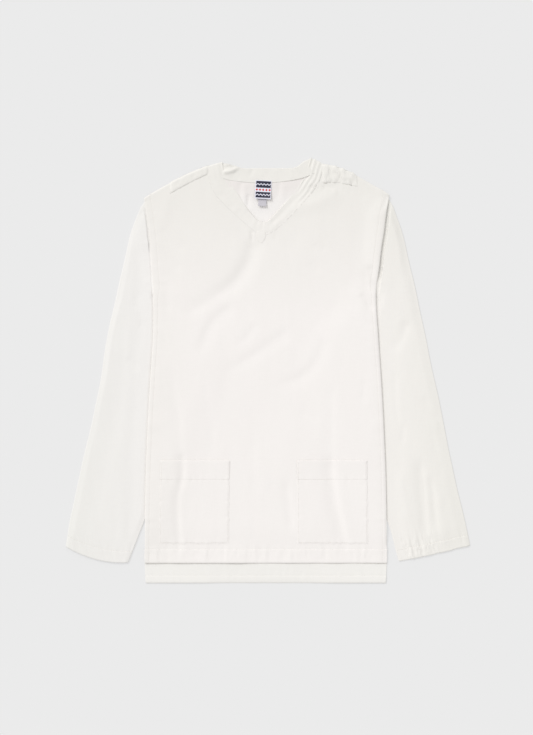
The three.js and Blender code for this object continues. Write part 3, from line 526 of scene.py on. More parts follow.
# Panels
EDGE_INSETS = np.array([0, 0.3, 1.1, 2.3, 4.0])
EDGE_LEANS = np.radians([90, 67.5, 45, 22.5, 0])
EDGE_ROLL = {-1: 0.4, 1: 1.5}  # tight on the left, where the sleeve pushes against it
EDGE_COLUMNS = 17  # width at each side that the edge and the topstitch take up
UPPER_LENGTH = 205  # about the length of a panel above the pit
FLAP_LENGTH = 18  # about the length that turns down at a shoulder


# Each panel, by its face: name, band, sewing and edge of the hem, spacing above, height
PANELS = {
    1: ("front_panel", BAND_FRONT, FRONT_STITCH_Y, FRONT_HEM_Y, STEP, front_height),
    -1: ("back_panel", BAND_BACK, BACK_STITCH_Y, BACK_HEM_Y, COARSE_STEP, back_outside),
}


def panel_columns(band_rows):
    """Columns of a panel, from left to right: share of the half width, inset at the side, whether it
    follows the topstitch, lean, x and y at the top, depth of its drop, whether it is on a shoulder."""
    tip = half_at(TIP_Y)
    keys = [row[0] for row in band_rows]
    for sign, side in SHOULDERS.items():
        keys += [CENTRE_X + sign * (tip - EDGE_COLUMNS), side["strip_end"]]
        keys += [side["neck_x"], side["neck_x"] + sign * NECK_STEP]
    rows = []
    for x in subdivide(sorted(keys), STEP):
        rows.append(((x - CENTRE_X) / half_at(outline_at(band_rows, x)), 0, 0, 0, x))
    for sign in (-1, 1):
        insets = [(inset * EDGE_ROLL[sign], 0, lean) for inset, lean in zip(EDGE_INSETS, EDGE_LEANS)]
        insets += [(inset, 1, 0) for inset in LINE_OFFSETS]
        side = [
            (sign, inset, follows, lean, CENTRE_X + sign * (tip - inset - side_line(TIP_Y) * follows))
            for inset, follows, lean in insets[::-sign]
        ]
        rows = side + rows if sign < 0 else rows + side
    *columns, top_x = np.array(rows, float).T
    pick = lambda key: np.where(top_x < CENTRE_X, *(side[key] for side in SHOULDERS.values()))
    beyond = off_centre(top_x) - off_centre(pick("neck_x"))
    to_end = np.clip(beyond / np.abs(pick("strip_end") - pick("neck_x")), 0, 1)
    drop = lerp(pick("drop"), pick("end_drop"), to_end)
    drop = lerp(drop, NECK_DROP, np.clip(-beyond / NECK_DROP_FADE, 0, 1))
    return (*columns, top_x, outline_at(band_rows, top_x), drop, beyond > NECK_STEP / 2)


def panel(face):
    """A panel, and what the strips need of it. face is 1 for the front and -1 for the back."""
    name, band_rows, stitch_y, hem_y, step, height = PANELS[face]
    columns = panel_columns(band_rows)
    share, inset, follows, lean, _, top_y, drop, shoulder = (column[:, None] for column in columns)
    sign, at_side = np.sign(share), np.abs(share) == 1
    lower = rows_past(stitch_y, hem_y, PIT_Y, STEP, step)
    upper = subdivide([0, 1], STEP / UPPER_LENGTH)[1:]
    flap = subdivide([1, 0], STEP / FLAP_LENGTH)[1:]
    y = np.concatenate([
        lower[None, :] + 0 * top_y, lerp(PIT_Y, top_y - drop, upper[None, :]),
        top_y - lerp(ROLL, drop, flap[None, :]), top_y - EDGE_INSETS[::-1][None, 1:],
    ], axis=1)
    flat_rows = np.zeros(len(lower) + len(upper) + len(flap))
    top_lean = np.concatenate([flat_rows, EDGE_LEANS[::-1][1:]])[None, :] * shoulder
    x = CENTRE_X + share * half_at(y) - (inset + side_line(y) * follows) * sign * at_side
    if face < 0:
        x = x - BACK_SET * smooth(PIT_Y - 10, PIT_Y - 1, y) * sign * at_side
    half_height = (front_level(x, y) - back_under(x, y)) / 2 - SEWN
    sewn = smooth(PIT_Y, PIT_Y - 14, y) * smooth(VENT_TOP_Y - VENT_FADE, VENT_TOP_Y, y)
    lip = smooth(PIT_Y - 14, PIT_Y, y) * np.where(sign < 0, ARMHOLE_LIP[-1], ARMHOLE_LIP[1])
    side_turn = half_height * sewn + (lip if face > 0 else 0)
    turn = np.maximum(side_turn * (1 - np.cos(lean)), half_height * (1 - np.cos(top_lean)))
    outer = np.stack([x, y, height(x, y) - face * turn], -1)
    face_lean = np.where(side_turn > 0.4, lean, 0)
    upright = np.maximum(0.02, np.cos(face_lean) * np.cos(top_lean))
    normal = unit(np.stack([sign * np.sin(face_lean), np.sin(top_lean) + 0 * x, face * upright], -1))
    wall = WALL + (face > 0) * HEM_RAISE * smooth(-HEM_TURN, HEM_TURN, stitch_y - y)
    inner = outer - normal * wall[..., None]
    if face < 0:
        inner[..., 2] = np.where(turn == 0, back_inside(x, y), inner[..., 2])
    flaps = slice(len(lower) + len(upper) - 1, None)
    return shell(name, outer, inner), (outer, normal, columns, flaps)


# For each strip: (width of its edges, width of its end, how crumpled it is)
STRIP_FORM = {-1: (1.5, 1.5, 0.8), 1: (1.5, 7, 2.8)}
STRIP_LAP = 5  # how far a strip runs in under the neck band
STRIP_SEWING = 2.5  # from its edges
STRIP_CLEAR = 0.08  # above the panels
FAR = 50  # puts the back's side of a strip out of reach of its front edge


def shoulder_strip(sign, front_grid, back_grid):
    """Strip over the shoulder, made from the panels' own points, moved out."""
    side = SHOULDERS[sign]
    paths = []
    for outer, normal, columns, flaps in (front_grid, back_grid):
        share, top_x, shoulder = columns[0], columns[4], columns[7]
        inside = (np.abs(share) < 1) & ((side["strip_end"] - top_x) * sign > -0.01)
        picked = shoulder & inside & ((top_x - CENTRE_X) * sign > 0)
        paths.append((outer[picked, flaps], normal[picked, flaps]))
    points, normals = (np.concatenate([paths[0][k], paths[1][k][:, ::-1]], axis=1) for k in (0, 1))
    near, beyond = (0, 1) if sign > 0 else (-1, -2)
    lap = points[near] + STRIP_LAP * unit(points[near] - points[beyond]) - [0, 0, 0.8] * normals[near]
    sides = ([lap], points), ([normals[near]], normals)
    points, normals = (np.concatenate(pair if sign > 0 else pair[::-1]) for pair in sides)
    across = np.linalg.norm(np.diff(points, axis=1), axis=2)
    travelled = np.concatenate([np.zeros((len(points), 1)), np.cumsum(across, 1)], axis=1)
    x, y = points[..., 0], points[..., 1]
    on_front = (np.arange(points.shape[1]) < paths[0][0].shape[1])[None, :]
    end = np.abs(x - side["strip_end"])
    edge_width, end_width, crumpled = STRIP_FORM[sign]
    nearest = np.minimum((travelled + FAR * ~on_front) / edge_width, end / end_width)
    rise = 0.1 + groove(travelled - STRIP_SEWING, 0.35) * on_front + groove(end - STRIP_SEWING, 0.1)
    crinkle = 0.65 * noise(x, y * 0.6, 3.9, 11) + 0.3 * noise(x, y, 8, 12)
    rise = rise + crumpled * on_front * crinkle * smooth(0, 7, end)
    edge_share = 0.05 + 0.35 * smooth(0, 4, end)
    over = lerp(edge_share, 1, smooth(0, 1, nearest)) * WALL + rise
    return shell(STRIPS[sign], points + normals * over[..., None], points + normals * STRIP_CLEAR)


POCKET_STEP = 2.2
POCKET_EDGE = np.array([0, 0.6, 1.3, 1.9, 2.35, 2.8, 3.4, 4.2])  # places close to an edge
POCKET_INNER = 5.2  # where the edge's places end
POCKET_SEWING = 2.35  # from its edges


def pocket_height(x, y):
    mouth = MOUTH_LIFT * smooth(POCKET_HEM, POCKET_TOP, y) * (1 + 0.5 * noise(x, 0 * x, 45, 21))
    turned = POCKET_HEM_RAISE * smooth(-HEM_TURN, HEM_TURN, y - POCKET_HEM)
    return front_height(x, y) + 0.1 + mouth + turned


def patch_pocket(name, start, end):
    """Patch pocket that follows the front panel, with a turned hem at its mouth."""
    width = (end - start) * float(half_at(-240))
    middle = subdivide([POCKET_INNER, width - POCKET_INNER], POCKET_STEP)
    across = np.concatenate([POCKET_EDGE, middle, width - POCKET_EDGE[::-1]])
    rows = np.concatenate([
        POCKET_BOTTOM + POCKET_EDGE,
        rows_past(POCKET_HEM, POCKET_BOTTOM + POCKET_INNER, POCKET_TOP, POCKET_STEP, POCKET_STEP),
    ])
    y = np.broadcast_to(rows[None, :], (len(across), len(rows)))
    x = CENTRE_X + (start + (end - start) * across[:, None] / width) * half_at(y)
    from_left, from_bottom = across[:, None] + 0 * y, y - POCKET_BOTTOM
    from_side = np.minimum(from_left, width - from_left)
    nearest = np.minimum(from_side, from_bottom)
    under = pocket_height(x, y)
    rise = POCKET_WALL * lerp(0.15, 1, smooth(0, 3.6, nearest))
    rise = rise + groove(nearest - POCKET_SEWING, 0.07) + groove(y - POCKET_HEM, 0.1)
    rise = rise + pucker(y, from_side, 8, 6, 0.3, 13)
    rise = rise + pucker(x, from_bottom, 8, 6, 0.3, 14) + pucker(x, y - POCKET_HEM, 8, 6, 0.3, 15)
    over = under + rise + crumple(x, y, 0.22, 16)
    return shell(name, np.stack([x, y, over], -1), np.stack([x, y, under], -1))


# Sleeves
QUARTER = np.radians(np.arange(0, 91, 15))
UPPER_COUNT = 88
# Stops round a ring of a sleeve: (share of the way to the underarm edge, upper or lower, angle)
SLEEVE_STOPS = np.array(
    [(0, 1, angle) for angle in QUARTER[::-1]]
    + [(share, 1, 0) for share in np.linspace(0.025, 0.975, UPPER_COUNT)]
    + [(1, 1, angle) for angle in QUARTER]
    + [(1, -1, angle) for angle in QUARTER[::-1][1:]]
    + [(share, -1, 0) for share in np.linspace(0.95, 0.05, 26)]
    + [(0, -1, angle) for angle in QUARTER[:-1]]
)
UPPER_STOPS = slice(2, 2 * len(QUARTER) + UPPER_COUNT - 2)
# The sleeve sinks beside the armhole and swells beyond, most on the right: (depth, width, swell)
TRENCH = {-1: (2.4, 2.6, 1.2), 1: (5.6, 5.6, 3.4)}
SIDE_RIDGE = 1.2  # the left sleeve bulges beside the body's edge
SLEEVE_TUCK = {-1: 0, 1: -7}
SLEEVE_LEAST = 2.25  # the least height of its upper side
SLEEVE_WALL = WALL * 0.9


def sleeve_rings():
    """Where each ring starts and ends, how far it follows the armhole, and how far the cuff is."""
    last_out, last_in, last = *SLEEVE_RINGS[-1][:2], len(SLEEVE_RINGS) - 1
    out_y, in_y, join, fine = smooth_rows(SLEEVE_RINGS, 9, [0, 1, 2, last]).T
    to_cuff = abs(CUFF_OUT_Y - last_out)
    depths = np.concatenate([
        subdivide([to_cuff, CUFF_HEM + LINE_REACH], 2.5)[1:-1], CUFF_HEM + LINE_OFFSETS[::-1],
        subdivide([CUFF_HEM - LINE_REACH, 0], 2)[1:],
    ])
    shares = 1 - depths / to_cuff
    none = 0 * depths
    columns = (
        (out_y, lerp(last_out, CUFF_OUT_Y, shares)), (in_y, lerp(last_in, CUFF_IN_Y, shares)),
        (np.clip(join, 0, 1), none), (np.clip(1 - fine, 0, 1) ** 2, none),
        (to_cuff + (last - fine) * 30, depths),
    )
    return (np.concatenate(pair)[:, None] for pair in columns)


def sleeve(sign):
    """A flattened tube from the armhole to the cuff."""
    out_y, in_y, join, armhole, from_cuff = sleeve_rings()
    raised = CUFF_RAISE[sign] * smooth(60, 0, from_cuff)
    out_y, in_y = out_y + raised, in_y + raised
    ripple = 0.7 * noise(out_y, 0 * out_y, 46, 60 + sign) * smooth(TIP_Y - 10, TIP_Y - 60, out_y)
    out_d = read_curve(SLEEVE_OUTER, out_y) + read_curve(SLEEVE_SPREAD[sign], out_y) + ripple
    in_d = inner_at(in_y) + SLEEVE_TUCK[sign] * smooth(-285, CUFF_IN_Y, in_y)
    length = np.hypot(out_d - in_d, out_y - in_y)
    bow = CUFF_BOW[sign] * smooth(-150, CUFF_OUT_Y, out_y)
    share, upper, angle = (column[None, :] for column in SLEEVE_STOPS.T)
    is_end = (share == 0) | (share == 1)
    seam_y = lambda t: lerp(SLEEVE_RINGS[0][0], SLEEVE_RINGS[0][1], t)

    def place(t):
        y = lerp(out_y, in_y, t)
        d = armhole * (half_at(y) - ARMHOLE_TUCK) + (1 - armhole) * lerp(out_d, in_d, t)
        wavy = (sign > 0) * 0.9 * noise(length * t, 0 * y, 8, 62)
        wavy = wavy * smooth(40, 0, from_cuff) * smooth(0.8, 0.5, t) * smooth(0, 0.05, t)
        return CENTRE_X + sign * d, y - bow * 4 * t * (1 - t) + wavy

    def levels(t):
        """Top and underside of the sleeve."""
        x, y = place(t)
        seam_x = CENTRE_X + sign * half_at(seam_y(t))
        seam_top = front_level(seam_x, seam_y(t)) - ARMHOLE_LIP[sign] - SEWN
        beside = off_centre(x) - half_at(y)
        rim = np.minimum(t, 1 - t) * length
        full = lerp(SLEEVE_HIDDEN, SLEEVE_LOFT, smooth(4, 50, beside))
        edge_z = SLEEVE_EDGE[sign]
        at_edge = smooth(0, 6, beside) * (1 - smooth(0, SLEEVE_RIM[sign], rim))
        full = lerp(full, np.minimum(full, edge_z), at_edge)
        full = lerp(full, np.minimum(full, edge_z + 0.5), smooth(45, 0, from_cuff))
        depth, reach, swell = TRENCH[sign]
        beside_armhole = smooth(PIT_Y - 2, PIT_Y + 20, y) * smooth(326, 304, y)
        far = smooth(62, 10, beside) * smooth(0, 26, rim) * smooth(326, 304, y)
        if sign < 0:
            ridge = SIDE_RIDGE * smooth(-340, -280, y) * smooth(290, 250, y)
            full = full + ridge * smooth(0.3, 3.8, beside) * smooth(32, 8, beside) * smooth(0, 12, rim)
            beside_armhole = beside_armhole * lerp(0.1, 0.8, smooth(208, 236, y)) * smooth(304, 284, y)
            far = far * beside_armhole
        else:
            far = far * smooth(60, 190, y)
        top = lerp(full, seam_top, join)
        top = top - depth * beside_armhole * smooth(1.25 * reach, 0.85 * reach, beside)
        top = top + swell * smooth(0.9 * reach, 1.35 * reach, beside) * far
        return np.maximum(top, SLEEVE_LEAST), join * 0.4 * back_under(seam_x, seam_y(t))

    end_top, end_bottom = levels(np.where(share < 0.5, 0.0, 1.0) + 0 * length)
    radius = (end_top - end_bottom) / 2
    inset = np.where(is_end, radius * (1 - np.sin(angle)) / length, 0)
    t = np.where(share < 0.5, share + inset, share - inset)
    x, y = place(t)
    top, bottom = levels(t)
    round_z = end_bottom + radius * (1 + upper * np.cos(angle))
    beside = off_centre(x) - half_at(y)
    rim = np.minimum(t, 1 - t) * length
    cloth = relief(SLEEVE_FOLDS, x, y) + crumple(x, y, 0.7, 31 + sign)
    cloth = cloth * smooth(2, 26, beside) * smooth(0, 12, rim)
    lively = 0.3 + 1.5 * smooth(335, 300, off_centre(x)) if sign > 0 else 0.25
    cuff = lively * pucker(x + 0.25 * y, from_cuff - CUFF_HEM * 0.7, 24, 5, 1, 33 + sign)
    head = pucker(y, beside, 12, 9, 0.3, 37) * smooth(PIT_Y, PIT_Y + 20, y) * smooth(0, 5, beside)
    over = top + cloth + (cuff + head) * smooth(0, 8, rim) + hem(CUFF_HEM - from_cuff) * smooth(0, 3, rim)
    loose = np.clip(crumple(x, y, 0.5, 40 + sign), 0, 0.5) * smooth(0, 20, rim) * (1 - join)
    flat_z = np.where(upper > 0, np.maximum(over, bottom + 2 * WALL), bottom + loose)
    outer = np.stack([x, y, np.where(is_end, round_z, flat_z)], -1)
    around = np.roll(outer, -1, axis=1) - np.roll(outer, 1, axis=1)
    normal = unit(np.cross(np.gradient(outer, axis=0), around))
    if ((outer - outer.mean(axis=1, keepdims=True)) * normal).sum() < 0:
        normal = -normal
    inner = outer - normal * SLEEVE_WALL
    return shell(SLEEVES[sign], outer, inner, tube=True), outer, from_cuff


# Neck band
ACROSS = np.array([0, 0.04, 0.08, 0.12, 0.17, 0.25, 0.34, 0.43, 0.52, 0.61, 0.7, 0.78, 0.85, 0.9, 0.95, 1])
# Folds of the band at the nape, as the folds of the panels
COLLAR_FOLDS = [
    (-82, 366, -70, 364, -53, 375, 3.2, 3.2, 2.6),
    (-84, 372, -72, 376, -58, 380, -1.4, 4, 3),
    (-26, 374, -29, 366, -34, 357, -1.0, 2.5, 4),
    (40, 370, 44, 362, 46, 354, 0.6, 4, 4),
]


BAND_WIDTH = 20
BAND_SEWING = 2.2  # from both edges
# How far apart the sections of the band lie, for its ripples
FRONT_PACE, FOLD_PACE, BACK_PACE = 2.3, 1.0, 3.2


def band_sections():
    """Sections of the band: (points, normal, place along it, zone). It lies on the front, turns
    over at each shoulder and returns along the nape."""
    sections = []

    def add(seam, free, z, normal, pace, zone):
        at = sections[-1][4] if sections else 0
        width = math.hypot(free[0] - seam[0], free[1] - seam[1])
        share = lerp(-BAND_LAP / width, 1, ACROSS)
        points = np.stack([lerp(seam[0], free[0], share), lerp(seam[1], free[1], share), z + 0 * share], -1)
        sections.append((points, np.array(normal, float), at, zone, at + pace))

    def fold(sign, angles):
        side = SHOULDERS[sign]
        neck, free = np.array([side["neck_x"], side["neck_y"]]), np.array(BAND_FOLDS[sign])
        high = float(front_level(*neck)) + BAND_RAISE
        low = float(back_under(*neck)) + WALL - BAND_WALL
        radius = (high - low) / 2
        along = (free - neck) / np.linalg.norm(free - neck)
        over = np.array([-along[1], along[0]])
        over = over if over[1] > 0 else -over
        for angle in np.radians(angles):
            push = radius * (math.sin(angle) - 1) * over
            z = (high + low) / 2 + radius * math.cos(angle)
            normal = (*(over * math.sin(angle)), math.cos(angle))
            add(neck + push, free + push, z, normal, FOLD_PACE, "fold")

    for row in smooth_rows(BAND_FRONT, 8):
        x, y = lerp(row[0], row[2], ACROSS), lerp(row[1], row[3], ACROSS)
        add(row[:2], row[2:], front_height(x, y), (0, 0, 1), FRONT_PACE, "front")
    half_turn = np.arange(0, 181, 12)
    fold(1, half_turn)
    for row in smooth_rows(BAND_BACK, 8):
        z = float(back_under(row[0], row[1])) + WALL - BAND_WALL + 4 * bell(row[2] + 70, 10) * ACROSS**2
        add(row[:2], row[2:], z, (0, 0, -1), BACK_PACE, "back")
    fold(-1, half_turn[::-1])
    return sections


def neck_band():
    """A closed loop of folded cloth round the whole neck opening."""
    outer, inner = [], []
    share, width = ACROSS, BAND_WIDTH * ACROSS
    for points, normal, at, zone, _ in band_sections():
        x, y = points[:, 0], points[:, 1]
        at = at + 0 * share
        wave = noise(at, width * 0.4, 9, 50) + 0.5 * noise(at, width, 4.5, 51)
        if zone == "back":
            step = 1.55 + 1.2 * smooth(10, 50, x) + 0.3 * wave + relief(COLLAR_FOLDS, x, y)
            outer.append(points)
            inner.append(points - normal * (BAND_WALL + step)[:, None])
            continue
        right = smooth(-9, 12, x) * smooth(345, 300, y)
        shoulder = smooth(52, 76, off_centre(x)) * smooth(0, 0.2, share) * (0.9 if x.mean() > 0 else 0.25)
        pleats = np.sin(2 * np.pi * (3.2 * share + 0.15 * noise(at, 0 * share, 12, 52)))
        rise = 0.3 * wave * smooth(0, 0.15, share) + lerp(0.05, 0.3, smooth(0.02, 0.3, share))
        rise = rise + groove(width - BAND_SEWING, 0.15) + groove(width - BAND_WIDTH + BAND_SEWING, 0.15)
        rise = rise + lerp(-0.5, -0.1, right) * smooth(0.55, 1, share)
        rise = rise - 0.9 * right * bell(share - 0.66, 0.2) + shoulder * pleats
        outer.append(points + normal * rise[:, None])
        inner.append(points - normal * BAND_WALL)
    outer, inner = np.array(outer), np.array(inner)
    free_mid = (outer[:, -1] + inner[:, -1]) / 2 + 0.7 * unit(outer[:, -1] - outer[:, -2])
    seam_mid = (outer[:, 0] + inner[:, 0]) / 2
    ring = np.concatenate([outer, free_mid[:, None], inner[:, ::-1], seam_mid[:, None]], axis=1)
    index = np.arange(ring.size // 3).reshape(ring.shape[:2])
    east, north = np.roll(index, -1, 0), np.roll(index, -1, 1)
    quads = np.stack([index, north, np.roll(east, -1, 1), east], -1).reshape(-1, 4)
    return add_object("neck_band", ring.reshape(-1, 3), quads)


# Small pieces
SHIELD_FORM = [(0, 0.6), (0.2, 0.95), (0.45, 1), (0.7, 0.78), (0.9, 0.4), (1, 0.16)]
SQUARE_FORM = [(0, 1), (0.5, 1), (1, 1)]
# Name, x of the middle, y of the top and the bottom, width, form and wall
V_SHIELD = ("v_shield", -12.5, 259, 235, 17, SHIELD_FORM, 0.6)
LABEL = ("label_cloth", -8.7, 350.8, 316.3, 29.5, SQUARE_FORM, 0.5)
TAB = ("tab_cloth", -9.6, 345, 303, 15.2, SQUARE_FORM, 0.4)
LABEL_TURN = math.radians(-3)
DOWN_CELLS, ACROSS_CELLS = 28, 22


def small_piece(name, centre_x, top_y, bottom_y, width, form, wall, height, turn=0.0):
    """A small flat piece. Its form has rows of (share down, share of the width)."""
    down = subdivide([0, 1], 1 / DOWN_CELLS)[None, :]
    across = subdivide([-0.5, 0.5], 1 / ACROSS_CELLS)[:, None]
    from_x = across * read_curve(form, down) * width
    mid_y = (top_y + bottom_y) / 2
    from_y = lerp(top_y, bottom_y, down) - mid_y
    x = centre_x + from_x * math.cos(turn) - from_y * math.sin(turn)
    y = mid_y + from_x * math.sin(turn) + from_y * math.cos(turn)
    under = np.stack([x, y, height(x, y, down, across) + 0 * x], -1)
    edge = np.minimum(np.minimum(down, 1 - down), 0.5 - np.abs(across))
    thickness = wall * lerp(0.4, 1, smooth(0, 0.1, edge))
    thickness = thickness + groove(DOWN_CELLS * (edge - 0.13), 0.3 * wall, 1.2)
    return shell(name, under + thickness[..., None] * [0, 0, 1], under)


# Sewing
STITCH_PITCH, STITCH_LENGTH, STITCH_WIDTH, STITCH_RISE = 3.3, 2.6, 0.5, 0.22
# Rings of a stitch: (place along it, size, lift)
STITCH_RINGS = np.array([
    (-0.5, 0.25, -0.5), (-0.36, 0.8, 0.2), (0, 1.0, 0.5), (0.36, 0.8, 0.2), (0.5, 0.25, -0.5),
])


def stitches(name, lines):
    """Rows of stitches along lines of (points, normals), as one mesh."""
    turn = np.radians(np.arange(0, 360, 60))[:, None]
    place, size, lift = (column[:, None, None] for column in STITCH_RINGS.T)
    last = 6 * (len(STITCH_RINGS) - 1)
    sides = [(ring + r, ring + (r + 1) % 6) for ring in range(0, last, 6) for r in range(6)]
    faces = [[a, b, b + 6, a + 6] for a, b in sides] + [[3, 2, 1, 0], [5, 4, 3, 0]]
    faces = np.array(faces + [[last, last + 1, last + 2, last + 3], [last, last + 3, last + 4, last + 5]])
    points = []
    for path, normals in lines:
        steps = np.linalg.norm(np.diff(path, axis=0), axis=1)
        travelled = np.concatenate([[0], np.cumsum(steps)])
        read = lambda rows, where: np.array([np.interp(where, travelled, rows[:, i]) for i in range(3)])
        for k in range(int(travelled[-1] // STITCH_PITCH)):
            middle = (k + 0.5) * STITCH_PITCH
            a, b = (read(path, middle + half * STITCH_LENGTH) for half in (-0.5, 0.5))
            up, along = unit(read(normals, middle)), unit(b - a)
            side = unit(np.cross(up, along))
            flat = np.cos(turn) * side * STITCH_WIDTH / 2 + np.sin(turn) * up * STITCH_WIDTH / 3
            centre = (a + b) / 2 + along * place * STITCH_LENGTH + up * lift * STITCH_RISE
            points.append((centre + flat * size).reshape(-1, 3))
    quads = np.concatenate([faces + k * len(points[0]) for k in range(len(points))])
    return add_object(name, np.concatenate(points), quads)


def line_on(height, x, y, lift=0.0):
    """A line of sewing that lies on a height function."""
    points = np.stack([x, y + 0 * x, height(x, y + 0 * x) + lift], -1)
    return points, np.tile([0.0, 0, 1], (len(x), 1))


# Materials
def srgb(r, g, b):
    linear = (((c / 255 + 0.055) / 1.055) ** 2.4 if c > 10.3 else c / 255 / 12.92 for c in (r, g, b))
    return (*linear, 1)


class Nodes:
    """A short way to write a material's nodes."""

    def __init__(self, name):
        self.material = bpy.data.materials.new(name)
        self.material.use_nodes = True
        self.tree = self.material.node_tree
        self.shader = self.tree.nodes["Principled BSDF"]
        self.coordinates = self.add("ShaderNodeTexCoord").outputs["Object"]

    def feed(self, node, inputs):
        """Set a node's inputs, or link them to sockets. Keys are names or numbers."""
        for key, value in inputs.items():
            if isinstance(value, bpy.types.NodeSocket):
                self.tree.links.new(value, node.inputs[key])
            else:
                node.inputs[key].default_value = value

    def add(self, kind, inputs={}, **settings):
        node = self.tree.nodes.new(kind)
        for key, value in settings.items():
            setattr(node, key, value)
        self.feed(node, inputs)
        return node

    def math(self, operation, a, b=0.0):
        return self.add("ShaderNodeMath", {0: a, 1: b}, operation=operation).outputs[0]

    def span(self, value, low, high):
        """The value as a share of the way from low to high."""
        return self.add("ShaderNodeMapRange", {"Value": value, "From Min": low, "From Max": high}).outputs[0]

    def mapping(self, turn=0.0, scale=(1, 1, 1)):
        inputs = {"Rotation": (0, 0, turn), "Scale": scale, "Vector": self.coordinates}
        return self.add("ShaderNodeMapping", inputs).outputs[0]

    def split(self, vector):
        outputs = self.add("ShaderNodeSeparateXYZ", {0: vector}).outputs
        return outputs[0], outputs[1]

    def noise(self, vector, scale):
        inputs = {"Scale": scale, "Detail": 2.0, "Vector": vector}
        return self.add("ShaderNodeTexNoise", inputs).outputs["Fac"]

    def wave(self, vector, period_m, direction, distortion):
        inputs = {
            "Scale": 2 * math.pi / 20 / period_m, "Distortion": distortion, "Detail": 1.0, "Vector": vector,
        }
        return self.add("ShaderNodeTexWave", inputs, bands_direction=direction).outputs["Fac"]

    def ramp(self, factor, *stops):
        node = self.add("ShaderNodeValToRGB", {0: factor})
        for element, (place, colour) in zip(node.color_ramp.elements, stops):
            element.position, element.color = place, colour
        return node.outputs[0]

    def mix(self, factor, a, b, blend="MIX"):
        inputs = {0: factor, 6: a, 7: b}
        return self.add("ShaderNodeMix", inputs, data_type="RGBA", blend_type=blend).outputs[2]

    def bump(self, height, distance_m, strength, **under):
        inputs = {"Height": height, "Distance": distance_m, "Strength": strength, **under}
        return self.add("ShaderNodeBump", inputs).outputs[0]

    def finish(self, colour, normal, roughness, sheen=0.0, more={}):
        """Feed the shader, and return the material."""
        inputs = {"Base Color": colour, "Normal": normal, "Roughness": roughness, "Sheen Weight": sheen}
        self.feed(self.shader, {**inputs, **more})
        return self.material


COTTON = (246, 242, 239)
COTTON_SHADE = (243, 239, 236)
COTTON_FALLOFF_SHADE = (0.925, 0.938, 0.915, 1)  # painted shade: what each colour keeps away from the middle of the body, where the light falls off
COTTON_NAPE_SHADE = (0.915, 0.9, 0.89, 1)  # painted shade: what each colour keeps inside the neck up at the nape
NAPE_SHADE_ROWS = (0.304, 0.338)
YARN = 0.00062


def cotton_material(name, turn=0.0, tone=(0, 0, 0), falloff_amount=1.0, rows=(0.1, 0.37), nape=False):
    """Washed cotton drill: a fine twill with uneven yarns and a soft nap. Painted shade makes it darker at
    the shoulders and down the sleeves than in the middle of the body, where the light falls off, and can
    darken the inside of the neck at the nape."""
    nodes = Nodes(name)
    calc, cloth = nodes.math, nodes.mapping(turn)
    warp = nodes.wave(cloth, YARN, "X", 0.6)
    weft = nodes.wave(cloth, YARN * 1.15, "Y", 0.6)
    twill = nodes.wave(cloth, YARN * 2.2, "DIAGONAL", 0.3)
    slub_warp, slub_weft = (nodes.noise(nodes.mapping(turn, s), 1.0) for s in ((1400, 45, 1), (40, 1200, 1)))
    slubs = calc("MULTIPLY", calc("ADD", slub_warp, slub_weft), 0.5)
    dark, light = (srgb(*(c + t for c, t in zip(colour, tone))) for colour in (COTTON_SHADE, COTTON))
    x, y = nodes.split(nodes.coordinates)
    sideways = nodes.span(calc("ABSOLUTE", calc("SUBTRACT", x, 0.03)), 0.16, 0.4)
    # Painted shade: the colour darkens across the given rows and toward the sides, where the light falls
    # off.
    painted_falloff = calc("MULTIPLY", calc("MAXIMUM", nodes.span(y, *rows), sideways), falloff_amount)
    colour = nodes.mix(painted_falloff, nodes.ramp(slubs, (0.3, dark), (0.7, light)), COTTON_FALLOFF_SHADE, "MULTIPLY")
    # Painted shade inside the neck, darkening up toward the nape.
    if nape:
        colour = nodes.mix(nodes.span(y, *NAPE_SHADE_ROWS), colour, COTTON_NAPE_SHADE, "MULTIPLY")
    yarns = calc("ADD", calc("MULTIPLY", warp, weft), calc("MULTIPLY", twill, 0.6))
    fine = calc("ADD", calc("MULTIPLY", yarns, 0.7), calc("MULTIPLY", nodes.noise(cloth, 900), 0.4))
    normal = nodes.bump(fine, 0.00007, 0.5, Normal=nodes.bump(slubs, 0.00012, 0.6))
    rough = nodes.add("ShaderNodeMapRange", {"Value": slubs, "To Min": 0.86, "To Max": 0.98}).outputs[0]
    soft = {"Specular IOR Level": 0.25, "Sheen Roughness": 0.5}
    return nodes.finish(colour, normal, rough, 0.08, soft)


def ribbed_material(name, turn, period, direction, colours, depth, roughness):
    """Thread or tape, with fine ribs in two colours."""
    nodes = Nodes(name)
    distortion = 0.4 if direction == "DIAGONAL" else 0.3
    ribs = nodes.wave(nodes.mapping(turn), period, direction, distortion)
    return nodes.finish(nodes.ramp(ribs, *colours), nodes.bump(ribs, *depth), roughness)


NAVY = srgb(29, 30, 54)
LABEL_WHITE = srgb(232, 232, 244)
RED = srgb(206, 58, 44)
LABEL_CENTRE = (-0.0087, 0.3335)
LABEL_SIZE = (0.0295, 0.0345)
LABEL_BANDS = ((0.0096, 0.0062), (-0.0098, 0.0054))  # (middle, half width)


